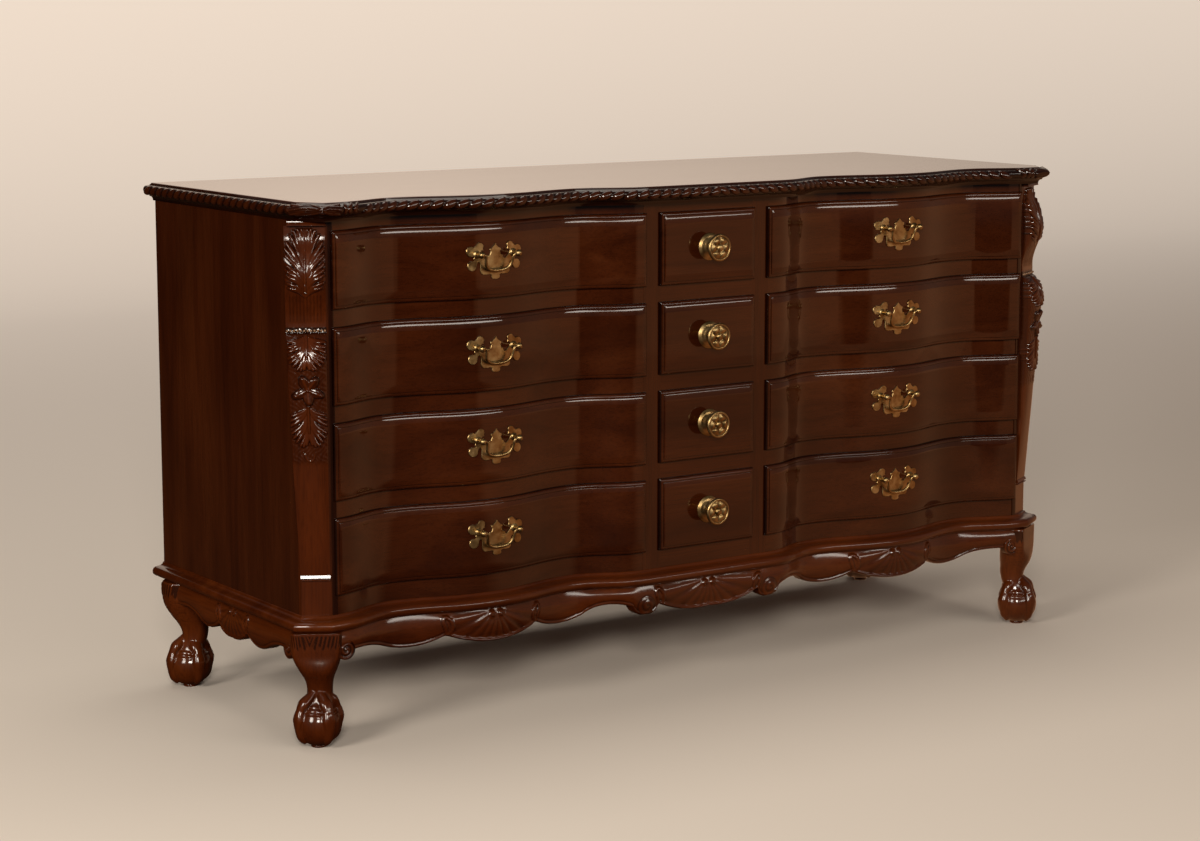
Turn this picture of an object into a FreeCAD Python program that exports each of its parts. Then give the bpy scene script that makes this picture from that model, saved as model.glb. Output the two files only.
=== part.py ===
import FreeCAD, Part
import math
import os
from FreeCAD import Placement, Rotation, Vector

# Serpentine dresser: twelve lipped drawers in three columns, canted corner posts,
# moulded base and ball-and-claw cabriole legs. X runs to the right, the front faces -Y
# and Z is up. The origin is on the floor under the middle of the bounding box.

doc = FreeCAD.newDocument("serpentine_dresser")
sheet = doc.addObject("Spreadsheet::Sheet", "dims")

# Driving dimensions in millimetres
DIMENSIONS = {
    # whole object and case
    "overall_width": 1540,
    "overall_depth": 558,
    "overall_height": 839,
    "top_thickness": 29,
    "top_cant_front_x": 738,
    "top_cant_side_y": -227,
    "case_half_width": 748,
    "case_bottom": 206,
    "case_back": 273,
    "panel_thickness": 19,
    "back_thickness": 6,
    # serpentine front: crests and valleys of the rail face, each as a place in X and in Y
    "centre_flat": 138,
    "centre_face": -237.5,
    "inner_valley": 243,
    "inner_valley_face": -200,
    "bulge": 422,
    "bulge_face": -232,
    "outer_valley": 592,
    "outer_valley_face": -198,
    "corner": 703,
    "corner_face": -235,
    "cant_side_y": -211,
    "cant_front_x": 705,
    # drawer grid
    "bottom_drawer": 235.5,
    "drawer_pitch": 146.4,
    "lip_height": 120,
    "lip_overlap": 4,
    "lip_gap": 1.1,
    "lip_face": 8,
    "wide_lip_inner": 123.7,
    "wide_lip_outer": 702.8,
    "centre_lip": 97.3,
    "side_play": 2,
    "core_rise": 5.5,
    "front_wall": 20,
    "rebate": 6,
    "box_wall": 12,
    "box_height": 98,
    "box_bottom": 6,
    "box_back": 240,
    # rails, partitions and dust frames
    "rail_back": -150,
    "stile_depth": 45,
    "partition_thickness": 20,
    "runner_height": 20,
    "runner_width": 34,
    "guide_height": 40,
    "guide_play": 1.5,
    "dust_panel": 6,
    # corner post with its console face
    "post_back": -170,
    "post_inner": 698,
    "console_width": 45,
    "console_upper": 24,
    "console_waist": 3,
    "console_bead": 9,
    "console_lower": 27,
    "plinth_top": 262,
    # base
    "base_bottom": 181,
    "base_nose": 20,
    "nose_top": 200,
    "nose_bevel": 5,
    "base_inner": 690,
    "apron_face": 10,
    "apron_thickness": 20,
    "block_depth": 22,
    "block_height": 28,
    "block_length": 36,
    # legs
    "foot_x": 727.7,
    "foot_front_y": -222,
    "foot_rear_y": 225,
    "leg_turn": 45,
    "knee_radius": 41,
    "glide_radius": 12,
    "glide_height": 4,
    "ball_radius": 34,
    "ball_centre": 38,
    "claw_radius": 6.5,
    # brass
    "pull_x": 413,
    "pull_rise": 10.5,
    "plate_thickness": 1.6,
    "post_spacing": 68,
    "post_radius": 5.5,
    "post_reach": 15,
    "bail_radius": 2.4,
    "bail_bore": 3.4,
    "bail_half_width": 25,
    "bail_drop": 26.5,
    "knob_radius": 23,
    "knob_reach": 33,
}
for row, (alias, value) in enumerate(DIMENSIONS.items(), start=1):
    sheet.set(f"A{row}", alias)
    sheet.set(f"B{row}", str(value))
    sheet.setAlias(f"B{row}", alias)
doc.recompute()

nodes = {}


def dim(alias):
    """A driving dimension as a number."""
    return float(sheet.get(alias))


def node(name, shape_object):
    """Names one sub-part: the label becomes its file's name."""
    shape_object.Label = name
    nodes[name] = shape_object


def bind(target, **expressions):
    """Binds properties to expressions on the sheet; a double underscore stands for a dot."""
    for prop, expression in expressions.items():
        target.setExpression(prop.replace("__", "."), str(expression))
    return target


def box(name, x, y, z, length, width, height):
    return bind(doc.addObject("Part::Box", name), Placement__Base__x=x, Placement__Base__y=y,
                Placement__Base__z=z, Length=length, Width=width, Height=height)


def group(name, members):
    compound = doc.addObject("Part::Compound", name)
    compound.Links = members
    return compound


def sketch_in(body, name, role, path, lift="0"):
    """A sketch on one of the body's origin planes; path holds lines (2 points) and arcs (3 points)."""
    sketch = body.newObject("Sketcher::SketchObject", name)
    plane = next(f for f in body.Origin.OriginFeatures if f.Role == role)
    sketch.AttachmentSupport = [(plane, "")]
    sketch.MapMode = "FlatFace"
    sketch.setExpression("AttachmentOffset.Base.z", lift)
    for points in path:
        places = [Vector(u, v, 0) for u, v in points]
        edge = Part.LineSegment(*places) if len(places) == 2 else Part.Arc(*places)
        sketch.addGeometry(edge, False)
    return sketch


def pad_of(body, sketch, length):
    pad = body.newObject("PartDesign::Pad", sketch.Name + "_pad")
    pad.Profile = sketch
    pad.setExpression("Length", str(length))
    return pad


def padded(name, role, path, length, lift="0"):
    """A body made of one pad."""
    body = doc.addObject("PartDesign::Body", name)
    pad_of(body, sketch_in(body, name + "_outline", role, path, lift), length)
    return body


def chain(points, closed=True):
    """Straight lines from point to point."""
    ends = points[1:] + points[:1] if closed else points[1:]
    return [(a, b) for a, b in zip(points, ends) if a != b]


# The serpentine front
# Each swing from a crest to a valley is two equal arcs that meet on a tangent. A parallel
# curve keeps the arcs' centres and changes their radii.
SWINGS = [("centre_flat", "centre_face"), ("inner_valley", "inner_valley_face"), ("bulge", "bulge_face"),
          ("outer_valley", "outer_valley_face"), ("corner", "corner_face")]


def swing_arcs(offset):
    """Arcs of the right half at an offset in front of the rail face: ends in X, centre, radius, crest or not."""
    arcs = []
    turns = [(dim(x), dim(y)) for x, y in SWINGS]
    for (x0, y0), (x1, y1) in zip(turns, turns[1:]):
        angle = 2 * math.atan2(abs(y1 - y0), x1 - x0)
        radius = (x1 - x0) / (2 * math.sin(angle))
        crest = 1 if y1 > y0 else -1
        first = radius + crest * offset
        x_mid = x0 + first * math.sin(angle)
        arcs.append((x0, x_mid, (x0, y0 + crest * radius), first, crest))
        arcs.append((x_mid, x1, (x1, y1 - crest * radius), radius - crest * offset, -crest))
    return arcs


def front_y(x, offset):
    """Y of the curve at an offset in front of the rail face."""
    x = abs(x)
    if x <= dim("centre_flat"):
        return dim("centre_face") - offset
    for x0, x1, (cx, cy), radius, crest in swing_arcs(offset):
        if x <= x1:
            return cy - crest * math.sqrt(radius ** 2 - (x - cx) ** 2)
    return dim("corner_face") - offset


def front_path(offset, x_from, x_to):
    """The curve from x_from to x_to as lines and arcs, running to the right."""
    if x_from < 0 < x_to:
        return front_path(offset, x_from, 0) + front_path(offset, 0, x_to)
    if x_to <= 0:
        right = front_path(offset, -x_to, -x_from)
        return [tuple((-x, y) for x, y in reversed(points)) for points in reversed(right)]
    breaks = [0, dim("centre_flat")] + [arc[1] for arc in swing_arcs(offset)] + [dim("overall_width")]
    path = []
    for a, b in zip(breaks, breaks[1:]):
        low, high = max(a, x_from), min(b, x_to)
        if high - low < 1e-6:
            continue
        ends = (low, front_y(low, offset)), (high, front_y(high, offset))
        if a == 0 or b == breaks[-1]:
            path.append(ends)
        else:
            middle = (low + high) / 2
            path.append((ends[0], (middle, front_y(middle, offset)), ends[1]))
    return path


def closed_by(path, points):
    """Closes a path with straight lines through the points given."""
    return path + chain([path[-1][-1], *points, path[0][0]], closed=False)


def chamfered(body, size, edge_names):
    base = body.Tip
    chamfer = body.newObject("PartDesign::Chamfer", body.Name + "_bevel")
    chamfer.Base = (base, edge_names)
    chamfer.setExpression("Size", size)
    return chamfer


# Levels and columns of the drawer grid
ROWS = (1, 2, 3, 4)
SIDES = {"left": -1, "right": 1}
OPENING_INNER = dim("wide_lip_inner") + dim("lip_overlap")
OPENING_OUTER = dim("wide_lip_outer") - dim("lip_overlap")
OPENING_CENTRE = dim("centre_lip") - dim("lip_overlap")
CORE_INNER = OPENING_INNER + dim("side_play")
CORE_OUTER = OPENING_OUTER - dim("side_play")
CORE_CENTRE = OPENING_CENTRE - dim("side_play")
WALL = dim("box_wall")


def lip_level(row):
    """Expression for the height of a drawer's lower lip edge; row 1 is at the top."""
    return f"(dims.bottom_drawer + {len(ROWS) - row} * dims.drawer_pitch)"


def mirrored(path, side):
    """The path on the left or the right, still running to the right."""
    if side > 0:
        return path
    return [tuple((-x, y) for x, y in reversed(points)) for points in reversed(path)]


# Top board: flat field with a nosed edge along the front and both ends
def top_board():
    half = dim("overall_width") / 2
    back = dim("overall_depth") / 2
    reach = back + dim("centre_face")
    side_corner = dim("top_cant_side_y")
    path = front_path(reach, -dim("top_cant_front_x"), dim("top_cant_front_x"))
    path = closed_by(path, [(half, side_corner), (half, back), (-half, back), (-half, side_corner)])
    body = padded("top", "XY_Plane", path, "dims.top_thickness", "dims.overall_height - dims.top_thickness")
    doc.recompute()
    nosed = []
    for number, edge in enumerate(body.Shape.Edges, start=1):
        level = edge.BoundBox.ZLength < 1e-3
        along_back = edge.BoundBox.YMin > back - 1e-3
        if level and not along_back:
            nosed.append(f"Edge{number}")
    chamfered(body, "dims.top_thickness / 3", nosed)
    return body


node("top_board", top_board())

# Plain panels of the case
case_height = "dims.overall_height - dims.top_thickness - dims.case_bottom"
for side_name, side in SIDES.items():
    edge_x = "-dims.case_half_width" if side < 0 else "dims.case_half_width - dims.panel_thickness"
    node(f"{side_name}_side_panel", box(f"{side_name}_side", edge_x, "dims.cant_side_y + 8", "dims.case_bottom",
                                        "dims.panel_thickness", "dims.case_back - dims.cant_side_y - 8",
                                        case_height))
node("back_panel", box("back", "dims.panel_thickness - dims.case_half_width", "dims.case_back - dims.back_thickness",
                       "dims.case_bottom", "2 * (dims.case_half_width - dims.panel_thickness)",
                       "dims.back_thickness", case_height))


# Corner posts: a rebated post with the console swelling worked on its canted face
def console_profile():
    """Swelling in front of the cant against height: plinth, long taper, lower swell, bead, waist, upper swell."""
    low, high = dim("case_bottom"), dim("overall_height") - dim("top_thickness")
    plinth, lower, upper = dim("plinth_top"), dim("console_lower"), dim("console_upper")
    waist, bead = dim("console_waist"), dim("console_bead")
    sunk = -10
    return ([((sunk, low), (2, low)), ((2, low), (2, plinth)), ((2, plinth), (5, plinth)),
             ((5, plinth), (5, plinth + 7)), ((5, plinth + 7), (3, plinth + 9)),
             ((3, plinth + 9), (lower - 2, 560)),
             ((lower - 2, 560), (lower, 600), (bead, 637)),
             ((bead, 637), (bead + 2, 643), (bead, 649)),
             ((bead, 649), (waist, 657)),
             ((waist, 657), (upper * 0.6, 687), (upper, 724)),
             ((upper, 724), (upper * 0.62, 760), (2, 797)),
             ((2, 797), (2, high - 7)), ((2, high - 7), (10, high - 7)), ((10, high - 7), (10, high)),
             ((10, high), (sunk, high)), ((sunk, high), (sunk, low))])


def corner_post(side_name, side):
    x_side, y_side = dim("case_half_width"), dim("cant_side_y")
    x_front, y_front = dim("cant_front_x"), dim("corner_face")
    plan = [(x_side, y_side + 8), (x_side, y_side), (x_front, y_front), (dim("post_inner"), y_front),
            (dim("post_inner"), dim("post_back")), (x_side - dim("panel_thickness"), dim("post_back")),
            (x_side - dim("panel_thickness"), y_side + 8)]
    shaft = padded(f"{side_name}_post_shaft", "XY_Plane", mirrored(chain(plan), side), case_height,
                   "dims.case_bottom")
    console = padded(f"{side_name}_console", "XZ_Plane", console_profile(), "dims.console_width")
    normal = Vector(y_side - y_front, x_front - x_side, 0).normalize()
    middle = Vector((x_side + x_front) / 2, (y_side + y_front) / 2, 0)
    turn = math.degrees(math.atan2(normal.y, normal.x))
    along = Vector(-normal.y, normal.x, 0) * (dim("console_width") / 2)
    if side < 0:
        middle.x, turn = -middle.x, 180 - turn
        along = Vector(along.x, -along.y, 0)
    console.Placement = Placement(middle + along, Rotation(Vector(0, 0, 1), turn))
    post = doc.addObject("Part::Fuse", f"{side_name}_post")
    post.Base, post.Tool = shaft, console
    return post


for side_name, side in SIDES.items():
    node(f"{side_name}_corner_post", corner_post(side_name, side))


# Front rails: sawn to the serpentine on the front edge, straight at the back
def rail_levels():
    """Bottom and height of the five rails as expressions, from the bottom up."""
    top = "dims.overall_height - dims.top_thickness"
    levels = [("dims.case_bottom", f"{lip_level(4)} + dims.lip_overlap - dims.case_bottom")]
    for row in (4, 3, 2):
        levels.append((f"{lip_level(row)} + dims.lip_height - dims.lip_overlap",
                       "dims.drawer_pitch - dims.lip_height + 2 * dims.lip_overlap"))
    above = f"{lip_level(1)} + dims.lip_height - dims.lip_overlap"
    levels.append((above, f"{top} - ({above})"))
    return levels


rails = []
for level, (bottom, height) in enumerate(rail_levels(), start=1):
    for side_name, side in SIDES.items():
        curve = front_path(0, OPENING_INNER, dim("post_inner"))
        outline = closed_by(curve, [(dim("post_inner"), dim("rail_back")), (OPENING_INNER, dim("rail_back"))])
        rails.append(padded(f"{side_name}_rail_{level}", "XY_Plane", mirrored(outline, side), height, bottom))
    rails.append(box(f"centre_rail_{level}", -OPENING_CENTRE, "dims.centre_face", bottom, 2 * OPENING_CENTRE,
                     "dims.rail_back - dims.centre_face", height))
node("drawer_rails", group("rails", rails))

# Stiles beside the middle column, each in front of a partition panel
uprights = []
PARTITION_OUTER = (OPENING_INNER + OPENING_CENTRE + dim("partition_thickness")) / 2
PARTITION_INNER = PARTITION_OUTER - dim("partition_thickness")
for side_name, side in SIDES.items():
    stile_x = OPENING_CENTRE if side > 0 else -OPENING_INNER
    panel_x = PARTITION_INNER if side > 0 else -PARTITION_OUTER
    uprights.append(box(f"{side_name}_stile", stile_x, "dims.centre_face", "dims.case_bottom",
                        OPENING_INNER - OPENING_CENTRE, "dims.stile_depth", case_height))
    uprights.append(box(f"{side_name}_partition", panel_x, "dims.centre_face + dims.stile_depth", "dims.case_bottom",
                        "dims.partition_thickness",
                        "dims.case_back - dims.back_thickness - dims.centre_face - dims.stile_depth", case_height))
node("partitions", group("uprights", uprights))

# Dust frames: two runners, two guides and a thin panel under every drawer
frames = []
RUN_LENGTH = "dims.case_back - dims.back_thickness - dims.rail_back"
PANEL_INNER = dim("case_half_width") - dim("panel_thickness")
columns = [("centre", -PARTITION_INNER, PARTITION_INNER, -CORE_CENTRE, CORE_CENTRE)]
columns.append(("right", PARTITION_OUTER, PANEL_INNER, CORE_INNER, CORE_OUTER))
columns.append(("left", -PANEL_INNER, -PARTITION_OUTER, -CORE_OUTER, -CORE_INNER))
for row in ROWS:
    runner_top = f"({lip_level(row)} + dims.lip_overlap)"
    for column, wall_left, wall_right, drawer_left, drawer_right in columns:
        label = f"{column}_{row}"
        left_width = drawer_left - wall_left + dim("runner_width") - WALL
        right_width = wall_right - drawer_right + dim("runner_width") - WALL
        for name, x, width in (("runner_a", wall_left, left_width), ("runner_b", wall_right - right_width, right_width)):
            frames.append(box(f"{name}_{label}", x, "dims.rail_back", f"{runner_top} - dims.runner_height",
                              width, RUN_LENGTH, "dims.runner_height"))
        play = dim("guide_play")
        for name, x, width in (("guide_a", wall_left, drawer_left - play - wall_left),
                               ("guide_b", drawer_right + play, wall_right - drawer_right - play)):
            frames.append(box(f"{name}_{label}", x, "dims.rail_back", runner_top, width, RUN_LENGTH,
                              "dims.guide_height"))
        frames.append(box(f"dust_{label}", wall_left + left_width, "dims.rail_back",
                          f"{runner_top} - (dims.runner_height + dims.dust_panel) / 2",
                          wall_right - right_width - wall_left - left_width, RUN_LENGTH, "dims.dust_panel"))
node("dust_frames", group("frames", frames))


# Drawers
def drawer_front(name, row, lip_path, core_path):
    """A lipped front: the lip covers the opening's edge, the core stands inside it."""
    body = doc.addObject("PartDesign::Body", name)
    pad_of(body, sketch_in(body, name + "_lip", "XY_Plane", lip_path, lip_level(row)), "dims.lip_height")
    core = sketch_in(body, name + "_core", "XY_Plane", core_path, f"{lip_level(row)} + dims.core_rise")
    pad_of(body, core, "dims.lip_height - 2 * dims.core_rise")
    return body


def flats(offset, x_from, x_to, parts):
    """The curve worked in flats: each arc, or what is left of it, in the number of parts given."""
    turns = [x_from, *[x1 for _, x1, _, _, _ in swing_arcs(0) if x_from < x1 < x_to], x_to]
    places = [a + (b - a) * i / parts for a, b in zip(turns, turns[1:]) for i in range(parts)] + [x_to]
    return [(x, front_y(x, offset)) for x in places]


def wide_front(name, row, side):
    lip = front_path(dim("lip_face"), dim("wide_lip_inner"), dim("wide_lip_outer"))
    behind = flats(dim("lip_gap"), dim("wide_lip_inner"), dim("wide_lip_outer"), 3)
    lip_path = closed_by(lip, reversed(behind))
    core = flats(dim("lip_face") / 2, CORE_INNER, CORE_OUTER, 2)
    core = chain(core, closed=False)
    back = flats(-dim("front_wall"), CORE_INNER + WALL, CORE_OUTER - WALL, 1)
    rebates = [side_end_y(CORE_OUTER - WALL, CORE_OUTER), side_end_y(CORE_INNER, CORE_INNER + WALL)]
    core_path = closed_by(core, [(CORE_OUTER, rebates[0]), (CORE_OUTER - WALL, rebates[0]), *reversed(back),
                                 (CORE_INNER + WALL, rebates[1]), (CORE_INNER, rebates[1])])
    return drawer_front(name, row, mirrored(lip_path, side), mirrored(core_path, side))


def side_end_y(x_from, x_to):
    """Where a drawer side ends in its rebate, behind the deepest point of the front there."""
    return max(front_y(x_from, 0), front_y(x_to, 0)) + dim("rebate")


def centre_front(name, row):
    half, face = dim("centre_lip"), dim("centre_face")
    lip = [(-half, face - dim("lip_face")), (half, face - dim("lip_face")), (half, face - dim("lip_gap")),
           (-half, face - dim("lip_gap"))]
    shoulder = face + dim("rebate")
    inside = face + dim("front_wall")
    core = [(-CORE_CENTRE, face - dim("lip_face") / 2), (CORE_CENTRE, face - dim("lip_face") / 2),
            (CORE_CENTRE, shoulder), (CORE_CENTRE - WALL, shoulder), (CORE_CENTRE - WALL, inside),
            (WALL - CORE_CENTRE, inside), (WALL - CORE_CENTRE, shoulder), (-CORE_CENTRE, shoulder)]
    return drawer_front(name, row, chain(lip), chain(core))


def drawer_box(name, row, left, right, left_end, right_end, inside):
    """Two sides, a back and a bottom. inside holds the front edge of the bottom, from left to right."""
    floor = f"{lip_level(row)} + dims.lip_overlap + dims.lip_gap"
    panel_z = f"{floor} + dims.box_bottom"
    members = []
    for label, x, front_end in (("side_a", left, left_end), ("side_b", right - WALL, right_end)):
        members.append(box(f"{name}_{label}", x, front_end, floor, "dims.box_wall", f"dims.box_back - ({front_end})",
                           "dims.box_height"))
    members.append(box(f"{name}_back", left + WALL, "dims.box_back - dims.box_wall", f"{panel_z} + dims.box_bottom",
                       right - left - 2 * WALL, "dims.box_wall", "dims.box_height - 2 * dims.box_bottom"))
    outline = inside + [(right - WALL, dim("box_back")), (left + WALL, dim("box_back"))]
    members.append(padded(f"{name}_bottom", "XY_Plane", chain(outline), "dims.box_bottom", panel_z))
    return group(name + "_members", members)


def wide_box(name, row, side):
    inside = flats(-dim("front_wall"), CORE_INNER + WALL, CORE_OUTER - WALL, 1)
    ends = [side_end_y(CORE_INNER, CORE_INNER + WALL), side_end_y(CORE_OUTER - WALL, CORE_OUTER)]
    if side > 0:
        return drawer_box(name, row, CORE_INNER, CORE_OUTER, *ends, inside)
    flipped = [(-x, y) for x, y in reversed(inside)]
    return drawer_box(name, row, -CORE_OUTER, -CORE_INNER, *reversed(ends), flipped)


def centre_box(name, row):
    face = dim("centre_face")
    inside = [(WALL - CORE_CENTRE, face + dim("front_wall")), (CORE_CENTRE - WALL, face + dim("front_wall"))]
    end = face + dim("rebate")
    return drawer_box(name, row, -CORE_CENTRE, CORE_CENTRE, end, end, inside)


# Brass pulls
def lobe(u, v, radius, start, end, steps):
    """Points round a lobe of the plate, between two angles in degrees."""
    angles = [math.radians(start + (end - start) * i / steps) for i in range(steps + 1)]
    return [(u + radius * math.cos(a), v + radius * math.sin(a)) for a in angles]


def batwing_half():
    """Right half of the plate's outline from the bottom tip up to the spire, about the line of the posts."""
    return [(0, -40.5), (6.5, -37), (11, -31.5), (29, -29.5), *lobe(41.5, -18, 8, -70, 90, 3), (38, -7),
            *lobe(43, 4.5, 8, -50, 110, 3), *lobe(28, 12.5, 6.5, 50, 190, 2), (11.5, -6.5), (7, 8)]


def bail_axis_y():
    return front_y(dim("pull_x"), dim("lip_face")) - dim("post_reach")


def pull_level(row):
    return f"({lip_level(row)} + dims.lip_height / 2 + dims.pull_rise)"


def pull_plate(name, row, side):
    """A bent batwing plate and the two posts whose eyes carry the bail."""
    centre = side * dim("pull_x")
    right = batwing_half()
    outline = [(centre + u, v) for u, v in right + [(0, 17)] + [(-u, v) for u, v in reversed(right[1:])]]
    blank = padded(name + "_blank", "XZ_Plane", chain(outline), 60, "200")
    blank.setExpression("Placement.Base.z", pull_level(row))
    bends = [centre + u for u in (-53, -18, 18, 53)]
    seat = dim("lip_face") + 1.1
    back = [(x, front_y(x, seat)) for x in bends]
    front = [(x, y - dim("plate_thickness")) for x, y in reversed(back)]
    sheet_metal = padded(name + "_sheet", "XY_Plane", chain(back + front), 80, f"{pull_level(row)} - 50")
    plate = doc.addObject("Part::Common", name + "_plate")
    plate.Base, plate.Tool = blank, sheet_metal
    members = [plate]
    for end in (-1, 1):
        x = centre + end * dim("post_spacing") / 2
        foot = front_y(x, seat) - dim("plate_thickness") - 0.4
        stem = doc.addObject("Part::Prism", f"{name}_stem_{'a' if end < 0 else 'b'}")
        stem.Polygon = 6
        stem.Placement = Placement(Vector(x, foot, 0), Rotation(Vector(1, 0, 0), 90))
        bind(stem, Circumradius="dims.post_radius", Height=f"{foot} - ({bail_axis_y()}) + dims.post_radius",
             Placement__Base__z=pull_level(row))
        bore = doc.addObject("Part::Prism", stem.Name + "_bore")
        bore.Polygon = 6
        bore.Placement = Placement(Vector(x - 10, bail_axis_y(), 0), Rotation(Vector(0, 1, 0), 90))
        bind(bore, Circumradius="dims.bail_bore", Height="20", Placement__Base__z=pull_level(row))
        eye = doc.addObject("Part::Cut", stem.Name + "_eye")
        eye.Base, eye.Tool = stem, bore
        members.append(eye)
    return group(name + "_members", members)


def bail(name, row, side):
    """The swinging handle: a rod bent to a shallow U, with its ends turned out into the posts."""
    centre, wide, drop = side * dim("pull_x"), dim("bail_half_width"), dim("bail_drop")
    half = [(dim("post_spacing") / 2 + 3, 0), (wide, 0), (wide * 0.95, -0.5 * drop), (wide * 0.6, -0.92 * drop)]
    run = half + [(0, -drop)] + [(-u, v) for u, v in reversed(half)]
    line = doc.addObject("Part::Polygon", name + "_line")
    line.Nodes = [Vector(centre + u, bail_axis_y(), v) for u, v in run]
    section = doc.addObject("Part::RegularPolygon", name + "_section")
    section.Polygon = 6
    section.Placement = Placement(Vector(centre + run[0][0], bail_axis_y(), 0), Rotation(Vector(0, 1, 0), 90))
    section.setExpression("Circumradius", "dims.bail_radius")
    doc.recompute()
    rod = doc.addObject("Part::Sweep", name + "_rod")
    rod.Sections = [section]
    rod.Spine = (line, [f"Edge{i + 1}" for i in range(len(run) - 1)])
    rod.Solid = True
    rod.Transition = "Right corner"
    rod.setExpression("Placement.Base.z", pull_level(row))
    return rod


# Knob: rosette, neck and head, as turned steps with the share of the reach where each starts and ends
KNOB_STEPS = (("rosette", 0, 0.12, 1.0), ("neck", 0.12, 0.66, 0.42), ("head", 0.66, 1.0, 1.0))
KNOB_SIDES = 10


def knob(name, row):
    steps = []
    for label, start, end, size in KNOB_STEPS:
        step = doc.addObject("Part::Prism", f"{name}_{label}")
        step.Polygon = KNOB_SIDES
        step.Placement = Placement(Vector(0, 0, 0), Rotation(Vector(1, 0, 0), 90))
        bind(step, Circumradius=f"dims.knob_radius * {size}", Height=f"dims.knob_reach * {end - start}",
             Placement__Base__y=f"dims.centre_face - dims.lip_face - dims.knob_reach * {start}",
             Placement__Base__z=f"{lip_level(row)} + dims.lip_height / 2")
        steps.append(step)
    turned = doc.addObject("Part::MultiFuse", name + "_turned")
    turned.Shapes = steps
    doc.recompute()
    rounded = doc.addObject("Part::Chamfer", name + "_rounded")
    rounded.Base = turned
    front = turned.Shape.BoundBox.YMin
    behind_head = front + dim("knob_reach") * (KNOB_STEPS[2][2] - KNOB_STEPS[2][1])
    rims = []
    for number, edge in enumerate(turned.Shape.Edges, start=1):
        level = edge.BoundBox.YLength < 1e-3
        wide = edge.Length > dim("knob_radius") / 3
        if level and wide and min(abs(edge.BoundBox.YMin - y) for y in (front, behind_head)) < 1e-3:
            rims.append((number, dim("knob_reach") * 0.12, dim("knob_reach") * 0.12))
    rounded.Edges = rims
    return rounded


for row in ROWS:
    for side_name, side in SIDES.items():
        drawer = f"{side_name}_drawer_{row}"
        node(f"{drawer}_front", wide_front(drawer + "_face", row, side))
        node(f"{drawer}_box", wide_box(drawer + "_case", row, side))
        node(f"{drawer}_pull_plate", pull_plate(drawer + "_pull", row, side))
        node(f"{drawer}_bail", bail(drawer + "_handle", row, side))
    drawer = f"centre_drawer_{row}"
    node(f"{drawer}_front", centre_front(drawer + "_face", row))
    node(f"{drawer}_box", centre_box(drawer + "_case", row))
    node(f"{drawer}_knob", knob(drawer + "_pull", row))


# Base frame: a nosed moulding along the front and sides, and a plain rail at the back
def cant_corners(offset):
    """The two ends of the canted corner at an offset from the case, on the right."""
    x_side, y_side = dim("case_half_width"), dim("cant_side_y")
    x_front, y_front = dim("cant_front_x"), dim("corner_face")
    nx, ny = y_side - y_front, x_front - x_side
    length = math.hypot(nx, ny)
    nx, ny = nx / length, ny / length
    reach = nx * x_side + ny * y_side + offset
    return ((reach - ny * (y_front - offset)) / nx, y_front - offset), \
        (x_side + offset, (reach - nx * (x_side + offset)) / ny)


SIDE_JOINT = dim("cant_side_y") + 8


def front_moulding_outline(offset):
    front_corner, side_corner = cant_corners(offset)
    path = front_path(offset, -front_corner[0], front_corner[0])
    flip = [(-x, y) for x, y in (side_corner, (side_corner[0], SIDE_JOINT))]
    inner = dim("base_inner")
    return closed_by(path, [side_corner, (side_corner[0], SIDE_JOINT), (inner, SIDE_JOINT), (inner, dim("rail_back")),
                            (-inner, dim("rail_back")), (-inner, SIDE_JOINT), flip[1], flip[0]])


MOULDING_STEPS = (("dims.base_bottom", "dims.nose_top", 1.0), ("dims.nose_top", "dims.case_bottom", 0.4))


def front_moulding():
    body = doc.addObject("PartDesign::Body", "base_front")
    for number, (low, high, share) in enumerate(MOULDING_STEPS):
        outline = front_moulding_outline(share * dim("base_nose"))
        pad_of(body, sketch_in(body, f"base_front_step_{number}", "XY_Plane", outline, low), f"{high} - {low}")
    return body


def side_moulding(name, side):
    nose, inner, outer = dim("base_nose"), dim("base_inner"), dim("case_half_width")
    low, high = dim("base_bottom"), dim("case_bottom")
    nose_high, bevel = dim("nose_top"), dim("nose_bevel")
    profile = [(inner, low), (outer + nose - bevel, low), (outer + nose, low + bevel),
               (outer + nose, nose_high - bevel), (outer + nose - bevel, nose_high), (outer + 0.4 * nose, nose_high),
               (outer + 0.4 * nose, high), (inner, high)]
    return padded(name, "XZ_Plane", mirrored(chain(profile), side), "dims.case_back - dims.cant_side_y - 8",
                  "-dims.case_back")


base = [front_moulding()]
for side_name, side in SIDES.items():
    base.append(side_moulding(f"base_{side_name}", side))
base.append(box("base_rear", "-dims.base_inner", "dims.case_back - 40", "dims.base_bottom", "2 * dims.base_inner",
                "40", "dims.case_bottom - dims.base_bottom"))


# Aprons: scalloped lower edges, as arcs through a middle point, from the centre outwards
FRONT_SCALLOPS = (((0, 131), (60, 134), (100, 147)), ((104, 148), (112, 135), (128, 133)),
                  ((128, 133), (144, 136), (152, 147)), ((152, 147), (190, 154), (232, 139)),
                  ((232, 139), (280, 131), (328, 143)), ((334, 143), (416, 128), (498, 143)),
                  ((504, 143), (552, 130), (604, 138)), ((604, 138), (644, 147), (688, 147)))
SIDE_SCALLOPS = (((0, 130), (26, 132), (46, 144)), ((52, 144), (84, 131), (118, 138)),
                 ((118, 138), (150, 148), (183, 148)))


def scalloped(arcs, centre, top):
    """A strip between the top line and the scallops, mirrored about its centre."""
    right = []
    for arc in arcs:
        if right and right[-1][-1] != arc[0]:
            right.append((right[-1][-1], arc[0]))
        right.append(arc)
    left = [tuple((-u, v) for u, v in reversed(points)) for points in reversed(right)]
    path = [tuple((centre + u, v) for u, v in points) for points in left + right]
    end = path[-1][-1][0]
    start = path[0][0][0]
    return closed_by(path, [(end, top), (start, top)])


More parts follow.
